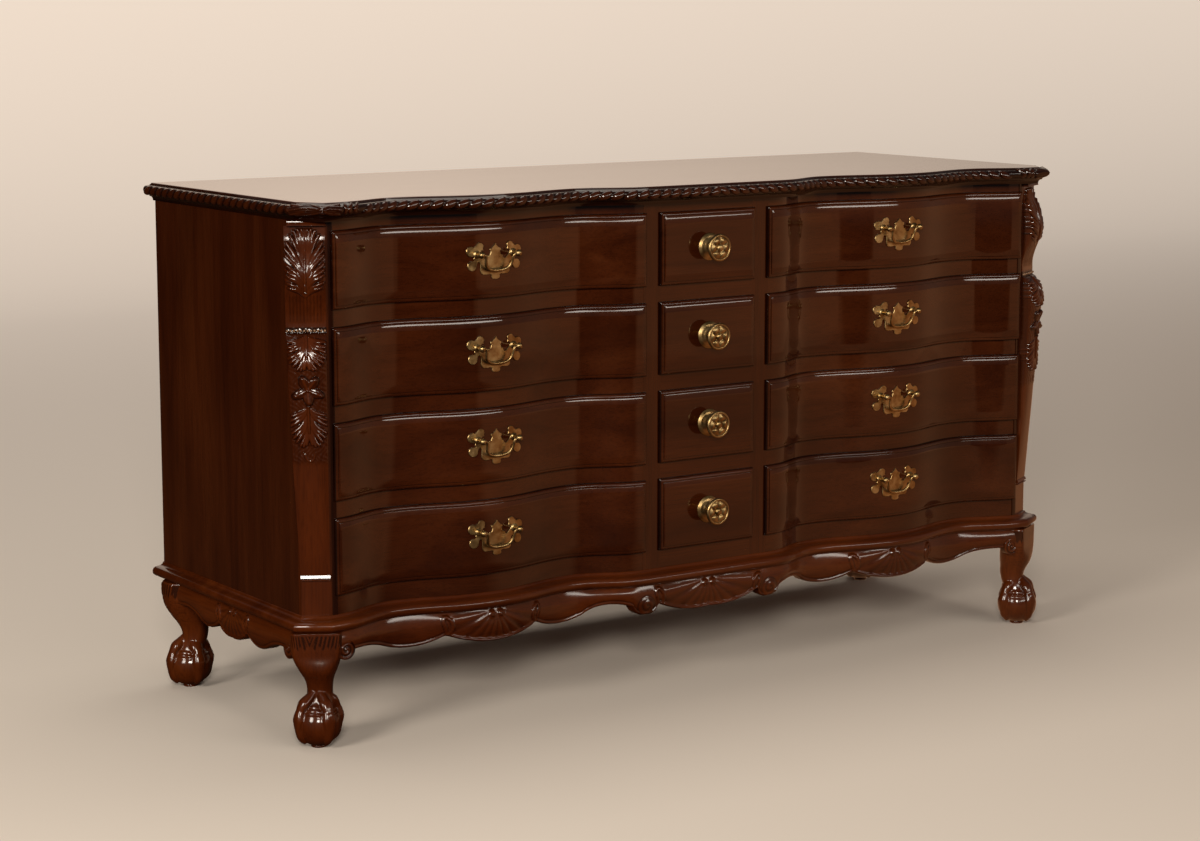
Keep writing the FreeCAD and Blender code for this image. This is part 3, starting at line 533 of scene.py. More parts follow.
# Rails between the drawers
RAIL_BACK = extent("drawer_rails")[1][1]
LIP_BOTTOM = {row: extent(f"left_drawer_{row}_front")[0][2] for row in ROWS}
LIP_TOP = {row: extent(f"left_drawer_{row}_front")[1][2] for row in ROWS}
LIP_OVERLAP = 4
OPENING_INNER = extent("right_drawer_1_front")[0][0] + LIP_OVERLAP
OPENING_OUTER = 698
OPENING_CENTRE = extent("centre_drawer_1_front")[1][0] - LIP_OVERLAP
# Painted shadow lies dark on the case along every lip
SHADE_UNDER, SHADE_OVER = 3.0, 1.4


def rails():
    """Five levels of rails, sawn to the serpentine in front and shaded where the lips lie over them."""
    levels = [(BASE_TOP, LIP_BOTTOM[4] + LIP_OVERLAP)]
    levels += [(LIP_TOP[row] - LIP_OVERLAP, LIP_BOTTOM[row - 1] + LIP_OVERLAP) for row in (4, 3, 2)]
    levels.append((LIP_TOP[1] - LIP_OVERLAP, TOP_UNDER))
    plans = [plan_box(-OPENING_CENTRE, OPENING_CENTRE, MIDDLE_FACE, RAIL_BACK)]
    for sign in SIDES.values():
        x = sign * np.linspace(OPENING_INNER, OPENING_OUTER, 150)
        plans.append(np.concatenate([front_line(x, 0), [(x[-1], RAIL_BACK), (x[0], RAIL_BACK)]]))
    shell = Shell()
    for low, high in levels:
        # Painted shadow: dark along each lip, fading up from a light shade on the base moulding, and
        # darkening up under the top
        shades = [(low, 1.0 if low > BASE_TOP else 0.3)]
        if low > BASE_TOP:
            shades += [(low + LIP_OVERLAP, 1.0), (low + LIP_OVERLAP + SHADE_OVER, 0.0)]
        if high < TOP_UNDER:
            edge = high - LIP_OVERLAP
            shades += [(edge - SHADE_UNDER, 0.0), (edge - 0.4 * SHADE_UNDER, 0.8), (edge, 1.0)]
        shades.append((high, 1.0))
        for plan in plans:
            dark = np.repeat([shade for _, shade in shades], len(plan))
            shell.tube([at_height(plan, z) for z, _ in shades], dark)
    shell.build("drawer rails", mahogany_across, "case", "mahogany", ["drawer_rails"])


def stiles():
    """The two uprights beside the middle column with the partitions behind them."""
    depth, thick = 45, 20
    low, high = extent("partitions")
    inner, outer = OPENING_CENTRE + LIP_OVERLAP, OPENING_INNER - LIP_OVERLAP
    x = np.array([OPENING_CENTRE, inner, inner + SHADE_OVER, outer - SHADE_OVER, outer, OPENING_INNER])
    z = [low[2], high[2]]
    for row in ROWS:
        z += [LIP_BOTTOM[row] - 1, LIP_BOTTOM[row], LIP_TOP[row], LIP_TOP[row] + 1]
    z = np.sort(z)
    # Painted shadow in strips beside the lips of the drawers, along their heights
    beside = np.array([1.0, 1.0, 0.0, 0.0, 1.0, 1.0])
    along = np.array([any(LIP_BOTTOM[row] <= level <= LIP_TOP[row] for row in ROWS) for level in z], float)
    shell, panels = Shell(), Shell()
    for sign in SIDES.values():
        xx, zz = np.meshgrid(sign * x, z)
        front = np.stack([xx, np.full_like(xx, MIDDLE_FACE), zz], axis=-1)
        shell.slab(front, front + (0, depth, 0), np.outer(along, beside))
        middle = sign * (OPENING_CENTRE + OPENING_INNER) / 2
        panel = plan_box(middle - thick / 2, middle + thick / 2, MIDDLE_FACE + depth, high[1])
        panels.prism(panel, low[2], high[2])
    shell.build("stiles", mahogany_upright, "case", "mahogany", ["partitions"])
    panels.build("partition panels", poplar_upright, "case", "drawer_wood")


rails()
stiles()

# Drawer fronts with a thumbnail-moulded lip: distance from the lip's edge and height over the rail
THUMBNAIL = ((0, 1.6), (0.1, 2.6), (0.5, 3.7), (1.1, 4.7), (1.8, 5.4), (2.65, 6.0), (3.6, 6.4), (5.0, 6.6),
             (6.2, 6.65), (6.5, 7.6), (7.2, 8.0))
LIP_FACE, LIP_BACK = 8.0, 1.1
# Painted shade in the crease of the lip and a painted shadow line at its outer edge and ends
CREASE_PLACE, CREASE_WIDTH, DARK_EDGE, DARK_END = 6.3, 0.5, 0.6, 2.0
FRONT_WALL, REBATE, BOX_WALL, CORE_RISE, SIDE_PLAY, CORE_FACE = 20, 6, 12, 5.5, 2, 3
FIELD_STEP_X, FIELD_STEP_Z = 4.5, 12


def stations(start, end, step):
    """Places from edge to edge: close together over the moulding, then evenly over the field."""
    edge = np.array([e for e, _ in THUMBNAIL])
    field = np.linspace(start + edge[-1], end - edge[-1], max(3, round((end - start) / step)))[1:-1]
    return np.concatenate([start + edge, field, (end - edge)[::-1]])


def lipped_face(shell, x_low, x_high, z_low, z_high, curve):
    """The moulded face and its lip, as one closed sheet on the curve given."""
    xx, zz = np.meshgrid(stations(x_low, x_high, FIELD_STEP_X), stations(z_low, z_high, FIELD_STEP_Z))
    end = np.minimum(xx - x_low, x_high - xx)
    edge = np.minimum(end, np.minimum(zz - z_low, z_high - zz))
    base = curve(xx)
    front = np.stack([xx, base - np.interp(edge, *np.array(THUMBNAIL).T), zz], axis=-1)
    back = np.stack([xx, base - LIP_BACK, zz], axis=-1)
    # Painted shade in the crease, a painted shadow line round the outer edge, and painted shade on the back
    crease = np.clip(1 - np.abs(edge - CREASE_PLACE) / CREASE_WIDTH, 0, 1)
    dark = (edge < DARK_EDGE) | (end < DARK_END)
    shell.slab(front, back, np.maximum(0.8 * crease, dark), shade_behind=1.0)


def flat_turns():
    """Places in X where the front changes from one arc to the next."""
    return [turn for (x0, _), (x1, _) in zip(SWINGS, SWINGS[1:]) for turn in ((x0 + x1) / 2, x1)]


def serpentine_core(inner, outer):
    """Plan of a wide front behind its lip: curved in front, in flats behind, rebated for the box sides."""
    sides = inner + BOX_WALL, outer - BOX_WALL
    flats = np.array([sides[0], *[t for t in flat_turns() if sides[0] < t < sides[1]], sides[1]])
    steps = [max(serpentine(wall, 0)) + REBATE for wall in ((inner, sides[0]), (sides[1], outer))]
    return np.concatenate([front_line(np.linspace(inner, outer, 60), CORE_FACE),
                           [(outer, steps[1]), (sides[1], steps[1])], front_line(flats, -FRONT_WALL)[::-1],
                           [(sides[0], steps[0]), (inner, steps[0])]])


def flat_core():
    """Plan of a narrow front behind its lip."""
    half = OPENING_CENTRE - SIDE_PLAY
    shoulder, inside = MIDDLE_FACE + REBATE, MIDDLE_FACE + FRONT_WALL
    box = half - BOX_WALL
    right = [(half, MIDDLE_FACE - CORE_FACE), (half, shoulder), (box, shoulder), (box, inside)]
    return right + [(-x, y) for x, y in reversed(right)]


def drawer_front(column, row, curve, core):
    drawer = f"{column}_drawer_{row}"
    low, high = extent(f"{drawer}_front")
    shell = Shell()
    lipped_face(shell, low[0], high[0], LIP_BOTTOM[row], LIP_TOP[row], curve)
    shell.prism(core, LIP_BOTTOM[row] + CORE_RISE, LIP_TOP[row] - CORE_RISE)
    shell.build(f"{column} drawer {row} front", mahogany_across, drawer, "mahogany", [f"{drawer}_front"])


def drawer_fronts(row):
    for side_name, sign in SIDES.items():
        low, high = extent(f"{side_name}_drawer_{row}_front")
        outer = (high[0] if sign > 0 else -low[0]) - (LIP_OVERLAP + SIDE_PLAY)
        core = serpentine_core(OPENING_INNER + SIDE_PLAY, outer) * (sign, 1)
        drawer_front(side_name, row, lambda x: serpentine(x, 0), core)
    drawer_front("centre", row, lambda x: np.full_like(x, MIDDLE_FACE), flat_core())


for row in ROWS:
    drawer_fronts(row)

# Brass pulls
PULL_X = 413
PLATE_SEAT = LIP_FACE + 0.3
POST_SPACING = 68
BAIL_AXIS = (extent("right_drawer_1_bail")[0][1] + extent("right_drawer_1_bail")[1][1]) / 2
PULL_Z = {row: extent(f"right_drawer_{row}_bail")[1][2] - 2.1 for row in ROWS}
PLATE_SIZE = 0.9
PLATE_CUTS = np.arange(-54, 55, 6)
PLATE_EDGE, PLATE_THICK, PLATE_BEVEL, POST_SEAT = 1.0, 1.7, 0.7, 1.5
BAIL_DROP, BAIL_BEND = 25.8, 8.5
BAIL_RADIUS, GRIP_SWELL, GRIP_HALF = 1.9, 1.2, 27
BAIL_HALF = ((36, 0), (29.5, 0), (26.4, -1.4), (25, -5.4), (24.3, -12), (22, -18.2), (16.2, -23.2),
             (8, -25.4))
# Bail post: its foot from the plate, and its head about the line of the bail
POST_FOOT = ((0, 6.2), (1.2, 6.4), (2.2, 5.6), (3, 4.2))
POST_HEAD = ((-6, 3.6), (-4.6, 4.4), (-2, 5.2), (0, 5.6), (2.4, 5.2), (4.4, 3.6), (5.2, 1.4))


def batwing():
    """Outline of the plate about the line of the posts, from the bottom tip round to the left."""
    right = [(0, -45), *arc_points(5, -40, 4, -80, 30, 4), *arc_points(12.5, -41, 5.5, 130, 60, 4),
             *arc_points(23, -29, 7.5, -75, 15, 5), *arc_points(33.5, -17, 3.2, 190, 0, 6),
             *arc_points(46, -20, 8.8, -175, 105, 12),
             *arc_points(40, -7.5, 3.2, -60, 60, 4), *arc_points(48, 5, 9, -95, 125, 10),
             *arc_points(31.5, 13.5, 7, 20, 215, 9), *arc_points(26, 2, 4.6, 110, -40, 5),
             *arc_points(20, -4, 4.5, -20, -160, 5), *arc_points(13, -5, 3, -30, 120, 4),
             *arc_points(8.5, 7, 3.2, -80, 100, 5), (3.2, 14)]
    return PLATE_SIZE * np.array(right + [(0, 18.5)] + [(-u, v) for u, v in reversed(right[1:])])


def inset(outline, distance):
    """The outline moved inwards along its own normals."""
    run = np.roll(outline, -1, axis=0) - np.roll(outline, 1, axis=0)
    run /= np.maximum(np.linalg.norm(run, axis=1), 1e-6)[:, None]
    return outline + distance * np.column_stack([-run[:, 1], run[:, 0]])


def flat_plate():
    """The plate before it is bent: points about its centre and triangles, cut across at even places."""
    outline = batwing()
    rings = [(outline, 0.0), (outline, -PLATE_EDGE), (inset(outline, PLATE_BEVEL), -PLATE_THICK)]
    work = bmesh.new()
    loops = [[work.verts.new((u, y, v)) for u, v in ring] for ring, y in rings]
    for a, b in zip(loops, loops[1:]):
        for i in range(len(a)):
            j = (i + 1) % len(a)
            work.faces.new((a[i], a[j], b[j], b[i]))
    work.faces.new(loops[0][::-1])
    work.faces.new(loops[-1])
    for u in PLATE_CUTS:
        everything = work.verts[:] + work.edges[:] + work.faces[:]
        bmesh.ops.bisect_plane(work, geom=everything, plane_co=(u, 0, 0), plane_no=(1, 0, 0))
    bmesh.ops.triangulate(work, faces=work.faces)
    bmesh.ops.recalc_face_normals(work, faces=work.faces)
    work.verts.index_update()
    points = np.array([v.co for v in work.verts])
    triangles = [[v.index for v in face.verts] for face in work.faces]
    work.free()
    return points, triangles


def pull_plate(row, side_name, sign):
    """The bent plate with a bevelled edge, and two posts with ball heads."""
    drawer = f"{side_name}_drawer_{row}"
    points, triangles = flat_plate()
    centre = sign * PULL_X
    seat = serpentine(centre + points[:, 0], PLATE_SEAT)
    shell = Shell()
    seats = np.column_stack([np.full(len(seat), centre), seat, np.full(len(seat), PULL_Z[row])])
    shell.take(points + seats, triangles)
    for end in (-1, 1):
        x = centre + end * POST_SPACING / 2
        foot = float(serpentine([x], PLATE_SEAT)[0]) - POST_SEAT
        profile = [*POST_FOOT, *[(foot - BAIL_AXIS + along, radius) for along, radius in POST_HEAD]]
        shell.turned(profile, (x, foot, PULL_Z[row]), FORWARD, 20)
    shell.build(f"{side_name} drawer {row} pull", antique_brass, drawer, "brass", [f"{drawer}_pull_plate"])


def bail(row, side_name, sign):
    """The swinging handle: thin at its turned-out ends, with a swelling grip that is bent back."""
    drawer = f"{side_name}_drawer_{row}"
    run = smooth_path([*BAIL_HALF, (0, -BAIL_DROP), *[(-u, v) for u, v in reversed(BAIL_HALF)]], 5)
    radii = BAIL_RADIUS + GRIP_SWELL * np.sqrt(np.clip(1 - np.abs(run[:, 0]) / GRIP_HALF, 0, 1))
    bent = BAIL_AXIS + BAIL_BEND * np.clip(-run[:, 1] / BAIL_DROP, 0, 1) ** 1.3
    shell = Shell()
    shell.swept(np.column_stack([sign * PULL_X + run[:, 0], bent, PULL_Z[row] + run[:, 1]]), radii, 12)
    handle = f"{drawer}_handle"
    shell.build(f"{side_name} drawer {row} bail", antique_brass, handle, "brass", [f"{drawer}_bail"])


# Knobs: distance from the drawer and radius; the boss the other way round
KNOB_STEPS, KNOB_PETALS = 96, 6
KNOB_ROSE = ((0, 22.4), (1.2, 22.8), (2.2, 22.0), (2.8, 20.2), (3.4, 19.6), (4.2, 18.2), (4.5, 16.0),
             (5.4, 14.2), (6.6, 12.0), (7.2, 10.4))
KNOB_NECK = ((5, 9.6), (9, 8.2), (14, 7.8), (18, 9.2), (20.5, 13.5), (22.2, 18.6), (23.6, 21.4), (25.2, 22.6),
             (27, 22.8), (28.4, 22.3), (29.4, 21.2), (29.8, 19.8), (29.4, 18.8), (28.6, 18.2))
KNOB_BOSS = ((6.4, 28.8), (6.1, 30.2), (5.0, 31.6), (3.0, 32.4), (0.5, 32.6))
KNOB_FACE, PETAL_RISE = 28.6, 2.4


def knob(row):
    """Rosette plate, neck and a head whose face is cut as petals round a boss."""
    drawer = f"centre_drawer_{row}"
    low, high = extent(f"{drawer}_knob")
    centre = np.array([0, high[1], (low[2] + high[2]) / 2])
    shell = Shell()
    shell.turned(KNOB_ROSE, centre, FORWARD, 48)
    angles = around(KNOB_STEPS)
    spokes = np.stack([np.cos(angles), np.zeros_like(angles), np.sin(angles)], axis=-1)
    rings = [centre + (0, -reach, 0) + spokes * radius for reach, radius in KNOB_NECK]
    shade_and_glaze = [np.zeros(KNOB_STEPS) for _ in KNOB_NECK]
    shade_and_glaze[-1][:] = 0.6
    petal = np.abs(np.cos(angles * KNOB_PETALS / 2)) ** 0.7
    for radius in np.linspace(17.6, 7.2, 9):
        swell = math.sin(math.pi * np.clip((18.0 - radius) / 11.4, 0, 1))
        rings.append(centre + spokes * radius)
        rings[-1][:, 1] -= KNOB_FACE + PETAL_RISE * swell * petal
        shade_and_glaze.append(np.clip(0.6 * (1 - petal) ** 1.5 * swell + 0.3 * (1 - swell), 0, 1))
    for radius, reach in KNOB_BOSS:
        rings.append(centre + (0, -reach, 0) + spokes * radius)
        shade_and_glaze.append(np.full(KNOB_STEPS, 0.5 if radius > 6.2 else 0.0))
    shell.tube(rings, np.concatenate(shade_and_glaze))
    shell.build(f"centre drawer {row} knob", antique_brass, drawer, "brass", [f"{drawer}_knob"])


for row in ROWS:
    for side_name, sign in SIDES.items():
        pull_plate(row, side_name, sign)
        bail(row, side_name, sign)
    knob(row)

# Carving: heights over a flat pattern, raised leaf by leaf, with the cuts between them kept as painted shade
# and glaze
VEIN_DEPTH = 1.0


class Carving:
    def __init__(self, u, v):
        self.u, self.v = u, v
        self.rise = np.zeros_like(u)
        self.cut = np.zeros_like(u)

    def darken(self, shade):
        self.cut = np.maximum(self.cut, shade)

    def leaf(self, spine, width, height, vein=0.0, stem=0.4, lift=0.5):
        """A blade along a spine, fullest past its middle, grooved at the vein's spacing, with painted shade
        at its edges, in its grooves and on the ground beside it.
        """
        path = smooth_path(spine, 24)
        run = np.concatenate([[0], np.cumsum(np.linalg.norm(np.diff(path, axis=0), axis=1))])
        low, high = path.min(axis=0) - 1.4 * width, path.max(axis=0) + 1.4 * width
        near = (self.u > low[0]) & (self.u < high[0]) & (self.v > low[1]) & (self.v < high[1])
        gap = np.stack([self.u[near], self.v[near]], axis=-1)[:, None, :] - path
        spread = np.linalg.norm(gap, axis=2)
        share = run[spread.argmin(axis=1)] / run[-1]
        aside = spread.min(axis=1)
        half = width * (stem + (1 - stem) * np.sin(math.pi * (0.12 + 0.7 * share)))
        across = aside / half
        dome = np.sqrt(np.clip(1 - across**2, 0, 1))
        groove = 0.5 - 0.5 * np.cos(2 * math.pi * aside / vein) if vein else np.zeros_like(aside)
        rise = dome * (height * (1 - lift + lift * share) - VEIN_DEPTH * groove)
        shade = np.clip(0.55 * groove + 0.9 * np.clip((across - 0.62) / 0.38, 0, 1) ** 1.5, 0, 1)
        self.cut[near] = np.where(rise > self.rise[near], shade, self.cut[near])
        beside = np.clip(1.4 - across, 0, 0.4) / 0.4 * (across >= 1)
        self.cut[near] = np.maximum(self.cut[near], beside * (self.rise[near] <= 0))
        self.rise[near] = np.maximum(self.rise[near], rise)

    def fan(self, base, tips, width, height):
        """Blades on both sides that spring together from a base and bend out to their tips."""
        for u, v in tips:
            for sign in (-1, 1):
                bend = (0.36 * sign * u, base[1] + 0.6 * (v - base[1]))
                self.leaf([base, bend, (sign * u, v)], width, height, stem=0.25, lift=0.85)

    def boss(self, u, v, radius, height, turns=0.0):
        """A round boss; turns cuts a spiral into it. Painted shade lies in the spiral and in a ring round the
        boss.
        """
        reach = np.hypot(self.u - u, self.v - v) / radius
        dome = height * np.sqrt(np.clip(1 - reach**2, 0, 1))
        if turns:
            angle = np.arctan2(self.v - v, self.u - u)
            spiral = 0.5 + 0.5 * np.cos(angle + 2 * math.pi * turns * reach)
            dome *= 0.62 + 0.38 * spiral
            self.cut = np.where(reach < 1, np.maximum(self.cut * 0.3, 0.7 * (1 - spiral) ** 2), self.cut)
        ring = np.clip(1 - np.abs(reach - 1.12) / 0.18, 0, 1)
        self.darken(0.8 * ring * (self.rise <= dome))
        self.rise = np.maximum(self.rise, dome)


# Corner posts with their carved consoles
POST_LOW, POST_HIGH = extent("right_corner_post")[0][2], extent("right_corner_post")[1][2]
CANT_SIDE, CANT_FRONT = np.array((CASE_SIDE, -211)), np.array((705, CORNER_FACE))
CANT_MIDDLE = (CANT_SIDE + CANT_FRONT) / 2
CANT_NORMAL = np.array([CANT_SIDE[1] - CANT_FRONT[1], CANT_FRONT[0] - CANT_SIDE[0]])
CANT_NORMAL = CANT_NORMAL / np.linalg.norm(CANT_NORMAL)
CANT_ALONG = np.array([-CANT_NORMAL[1], CANT_NORMAL[0]])
PLINTH_TOP, CAP_UNDER, BEAD_ROW = 262, 803, 645
CONSOLE_INNER = -19.5
CONSOLE_OUTER = ((262, 24.6), (350, 29), (440, 33.5), (540, 38), (640, 41), (803, 42))
CONSOLE_PATTERN, CONSOLE_REACH = 26.0, 42.5
CONSOLE_ROWS, CONSOLE_COLUMNS = 520, 84
# Heights and how far the console stands out there
CONSOLE_LINE = ((262, 0.8), (335, 7), (410, 13), (530, 20.5), (585, 25), (604, 25.5), (622, 22), (634, 14),
                (638.5, 9.5), (641, 3.6), (645, 2.8), (651, 2.6), (668, 2.8), (686, 9), (706, 18),
                (724, 21.5), (742, 19.5), (762, 12.5), (776, 4.8), (786, 1.6), (797, 0.8), (803, 0.6))
# Base, tips to one side, width and height of each spray of leaves
POST_FANS = (
    ((0, 726), ((3.5, 797), (8.5, 797), (13.5, 795), (18.5, 789)), 3.6, 5.2),
    ((0, 712), ((22.5, 778), (25, 770), (25.5, 761)), 3.8, 5.8),
    ((0, 702), ((25.5, 748), (25.5, 739), (24, 730)), 3.6, 5.4),
    ((0, 697), ((24, 719), (21, 711)), 3.2, 4.4),
    ((0, 622), ((3.5, 590), (8, 588), (12.5, 589)), 3.4, 5.0),
    ((0, 630), ((18, 594), (22, 599), (25, 605)), 3.6, 5.6),
    ((0, 637), ((26, 614), (26, 621), (24, 629)), 3.4, 4.8),
    ((0, 512), ((4, 474), (8.5, 471), (13, 472)), 3.4, 4.6),
    ((0, 522), ((18, 478), (22, 484), (24.5, 491)), 3.6, 5.2),
    ((0, 531), ((26, 502), (25.5, 510), (23, 518)), 3.4, 4.8),
)
POST_STEMS = (((0, 704), (0, 750), (0, 797)), ((0, 640), (0, 622), (0, 606)), ((0, 531), (0, 512), (0, 492)))
POST_SWAG = ((-7, 458), (-5, 451), (0, 447.5), (5, 451), (7, 458))
FLOWER_Z, FLOWER_PETALS = 557, (70, 124, 204, 266, 332)
HUSK_Z = 532
# Heights of the stippled ground, of the groove behind the beads and of the fluted waist
GROUND, BEAD_GROOVE, WAIST = (440, 652), (639, 651), (656, 702)
WAIST_HALF, FLUTE_PITCH = 23, 4.4
# The console and its mouldings are let into the post
LET_IN, CAP_END = -2, 37


def post_place(sign, u, out, z):
    """A point on a post: u across the cant, out along its normal."""
    x = CANT_MIDDLE[0] + CANT_ALONG[0] * u + CANT_NORMAL[0] * out
    y = CANT_MIDDLE[1] + CANT_ALONG[1] * u + CANT_NORMAL[1] * out
    return np.stack([sign * x, y, np.broadcast_to(z, np.shape(x))], axis=-1)


def console_out(z):
    return np.interp(z, *smooth_path(CONSOLE_LINE, 8).T)


def console_outer(z):
    """The edge of the console's face on the side of the case, across the cant."""
    return np.interp(z, *np.array(CONSOLE_OUTER).T)


def console_span(z):
    """Middle and half width of the console's face, across the cant."""
    return (console_outer(z) + CONSOLE_INNER) / 2, (console_outer(z) - CONSOLE_INNER) / 2


def console_crown(share):
    """The face rolls back towards its two edges."""
    return 1 - 0.3 * np.abs(share) ** 3


def console_carving(u, z):
    carving = Carving(u, z)
    for spine in POST_STEMS:
        carving.leaf(spine, 2.2, 5.4, stem=0.7, lift=0.2)
    for spray in POST_FANS:
        carving.fan(*spray)
    for angle in np.radians(FLOWER_PETALS):
        reach = np.array([math.cos(angle), math.sin(angle)])
        carving.leaf([(0, FLOWER_Z) + reach * r for r in (2.5, 10, 19)], 7.2, 7.0, vein=6.4)
    carving.boss(0, FLOWER_Z, 3.8, 6.4)
    carving.boss(0, HUSK_Z, 3.2, 5.4)
    carving.leaf(POST_SWAG, 1.6, 1.6, stem=1)
    ground = between(z, *GROUND, 8) * (carving.rise < 0.3)
    stipple = np.sin(0.8 * u + 1.9 * np.sin(0.23 * z)) * np.sin(0.6 * z + 1.4 * np.sin(0.31 * u))
    carving.rise += ground * (0.45 + 0.45 * stipple)
    # Painted shade on the stippled ground, in the groove behind the beads and between the flutes of the waist
    carving.darken(np.maximum(0.35 * ground, between(z, *BEAD_GROOVE, 2)))
    waist = between(z, *WAIST, 4) * between(np.abs(u), -1, WAIST_HALF, 2) * (carving.rise < 0.5)
    flutes = 0.5 + 0.5 * np.cos(2 * math.pi * u / FLUTE_PITCH)
    carving.rise += 0.5 * waist * flutes
    carving.darken(0.4 * waist * (1 - flutes))
    return carving


def cross_bar(shell, sign, section, start, end):
    """A small moulding across the post: section holds distance outwards and height."""
    out, z = np.array(section).T
    shell.tube([post_place(sign, np.full(len(out), u), out, z) for u in (start, end)])


def corner_post(side_name, sign):
    x_side, y_side = CANT_SIDE
    back, panel, fold = -170, x_side - 19, y_side + 8
    beside = CANT_FRONT + 5 * CANT_ALONG
    plan = np.array([(x_side, fold), (x_side, y_side), beside, CANT_FRONT, (OPENING_OUTER, CORNER_FACE),
                     (OPENING_OUTER, back), (panel, back), (panel, fold)])
    shell = Shell()
    rings = [at_height(plan * (sign, 1), z) for z in (POST_LOW, POST_HIGH)]
    # Painted shadow on the cant beside the drawers and on the post's inner faces; the back of the console is
    # painted dark as well
    shell.tube(rings, np.tile([0, 0, 0.1, 1, 1, 1, 0, 0], 2))
    z = np.linspace(PLINTH_TOP, CAP_UNDER, CONSOLE_ROWS)
    share = np.linspace(-1, 1, CONSOLE_COLUMNS)
    middle, half = console_span(z)
    u = middle[:, None] + half[:, None] * share[None, :]
    zz = np.repeat(z[:, None], len(share), axis=1)
    carving = console_carving(np.repeat(CONSOLE_PATTERN * share[None, :], len(z), axis=0), zz)
    inside = between(np.abs(share)[None, :], -1, 1, 0.04)
    out = console_out(zz) * console_crown(share[None, :]) + carving.rise * inside
    out = np.minimum(out, (CONSOLE_REACH - CANT_ALONG[0] * u) / CANT_NORMAL[0])
    behind = post_place(sign, u, np.full_like(u, LET_IN), zz)
    shell.slab(post_place(sign, u, out, zz), behind, np.clip(carving.cut, 0, 1), shade_behind=0.8)
    cap = [(LET_IN, CAP_UNDER), (9.6, CAP_UNDER), (10.4, CAP_UNDER + 0.6), (8.9, CAP_UNDER + 5.4),
           (8.2, CAP_UNDER + 6), (8, POST_HIGH), (LET_IN, POST_HIGH)]
    cross_bar(shell, sign, cap, CONSOLE_INNER - 1, CAP_END)
    for low, height in ((PLINTH_TOP - 1.6, 1.8), (PLINTH_TOP + 2.2, 4.8)):
        step = [(LET_IN, low), (3.4, low), (3.9, low + 0.3), (3.9 - 0.3 * height, low + height - 0.3),
                (3.4 - 0.3 * height, low + height), (LET_IN, low + height)]
        cross_bar(shell, sign, step, CONSOLE_INNER - 0.6, console_outer(PLINTH_TOP) + 0.8)
    shell.build(f"{side_name} corner post", worn_and_lit_upright, "case", "mahogany", [f"{side_name}_corner_post"])


for side_name, sign in SIDES.items():
    corner_post(side_name, sign)

# Aprons: three-point arcs of the scalloped edge, outwards from the middle, as place along it and height
FRONT_SCALLOPS = (((0, 131), (60, 134), (100, 147)), ((104, 148), (112, 135), (128, 133)),
                  ((128, 133), (144, 136), (152, 147)), ((152, 147), (190, 154), (232, 139)),
                  ((232, 139), (280, 131), (328, 143)), ((334, 143), (416, 128), (498, 143)),
                  ((504, 143), (552, 130), (604, 138)), ((604, 138), (644, 147), (688, 147)))
SIDE_SCALLOPS = (((0, 130), (26, 132), (46, 144)), ((52, 144), (84, 131), (118, 138)),
                 ((118, 138), (150, 148), (183, 148)))
APRON_TOP, APRON_FACE, APRON_THICK = BASE_UNDER, 10, 20
APRON_TENON, APRON_STEP = 14, 1.7
# Places and half widths of the shells, and the place and radius of the scrolls beside the middle one
FRONT_SHELLS, SIDE_SHELLS, FRONT_SCROLLS = ((0, 98), (416, 80)), ((0, 44),), ((128, 15),)
SHELL_RIBS = 20
# The two leaves at each end of a shell, from its end: spine, width, height and stem
SHELL_ENDS = ((((2, 147), (-3, 152), (-4, 160), (-1, 169), (5, 174)), 3.2, 3.4, 0.8),
              (((4, 146), (7, 156), (10, 166), (9, 174)), 3.4, 2.8, 0.6))


def scallop_edge(places, arcs):
    """Height of the lower edge at each place, from the arcs and the short straights between them."""
    places = np.abs(places)
    ends = [end for arc in arcs for end in (arc[0], arc[2])]
    edge = np.interp(places, [a for a, _ in ends], [b for _, b in ends])
    for (x0, z0), (x1, z1), (x2, z2) in arcs:
        pull = np.linalg.solve([[2 * (x1 - x0), 2 * (z1 - z0)], [2 * (x2 - x0), 2 * (z2 - z0)]],
                               [x1**2 - x0**2 + z1**2 - z0**2, x2**2 - x0**2 + z2**2 - z0**2])
        radius = math.hypot(x0 - pull[0], z0 - pull[1])
        inside = (places >= x0) & (places <= x2)
        rise = np.sqrt(np.clip(radius**2 - (places[inside] - pull[0]) ** 2, 0, None))
        edge[inside] = pull[1] + math.copysign(1, z1 - pull[1]) * rise
    return edge


def shell_carving(carving, centre, half, edge):
    """A fan of ribs springing from two small scrolls, with a flared rim and curled leaves at each end."""
    du, drop = carving.u - centre, APRON_TOP - 5 - carving.v
    over = carving.v - edge
    angle = np.arctan2(du, drop + 3)
    reach = np.hypot(du, drop + 3)
    field = between(du, -half + 4, half - 4, 5) * np.clip((over - 5) / 4, 0, 1)
    field = field * np.clip((reach - 9) / 8, 0, 1)
    line = (0.5 + 0.5 * np.cos(angle * SHELL_RIBS)) ** 2
    carving.rise += field * (0.7 - 1.5 * line)
    # Painted shade in the lines between the ribs
    carving.darken(0.45 * field * line)
    carving.rise += 2.6 * between(du, -half, half, 6) * np.exp(-(((over - 3) / 3.5) ** 2))
    for sign in (-1, 1):
        carving.boss(centre + sign * 8, APRON_TOP - 9, 6.2, 4.6, turns=1.3)
        for spine, width, height, stem in SHELL_ENDS:
            carving.leaf([(centre + sign * (half + a), b) for a, b in spine], width, height, stem=stem)


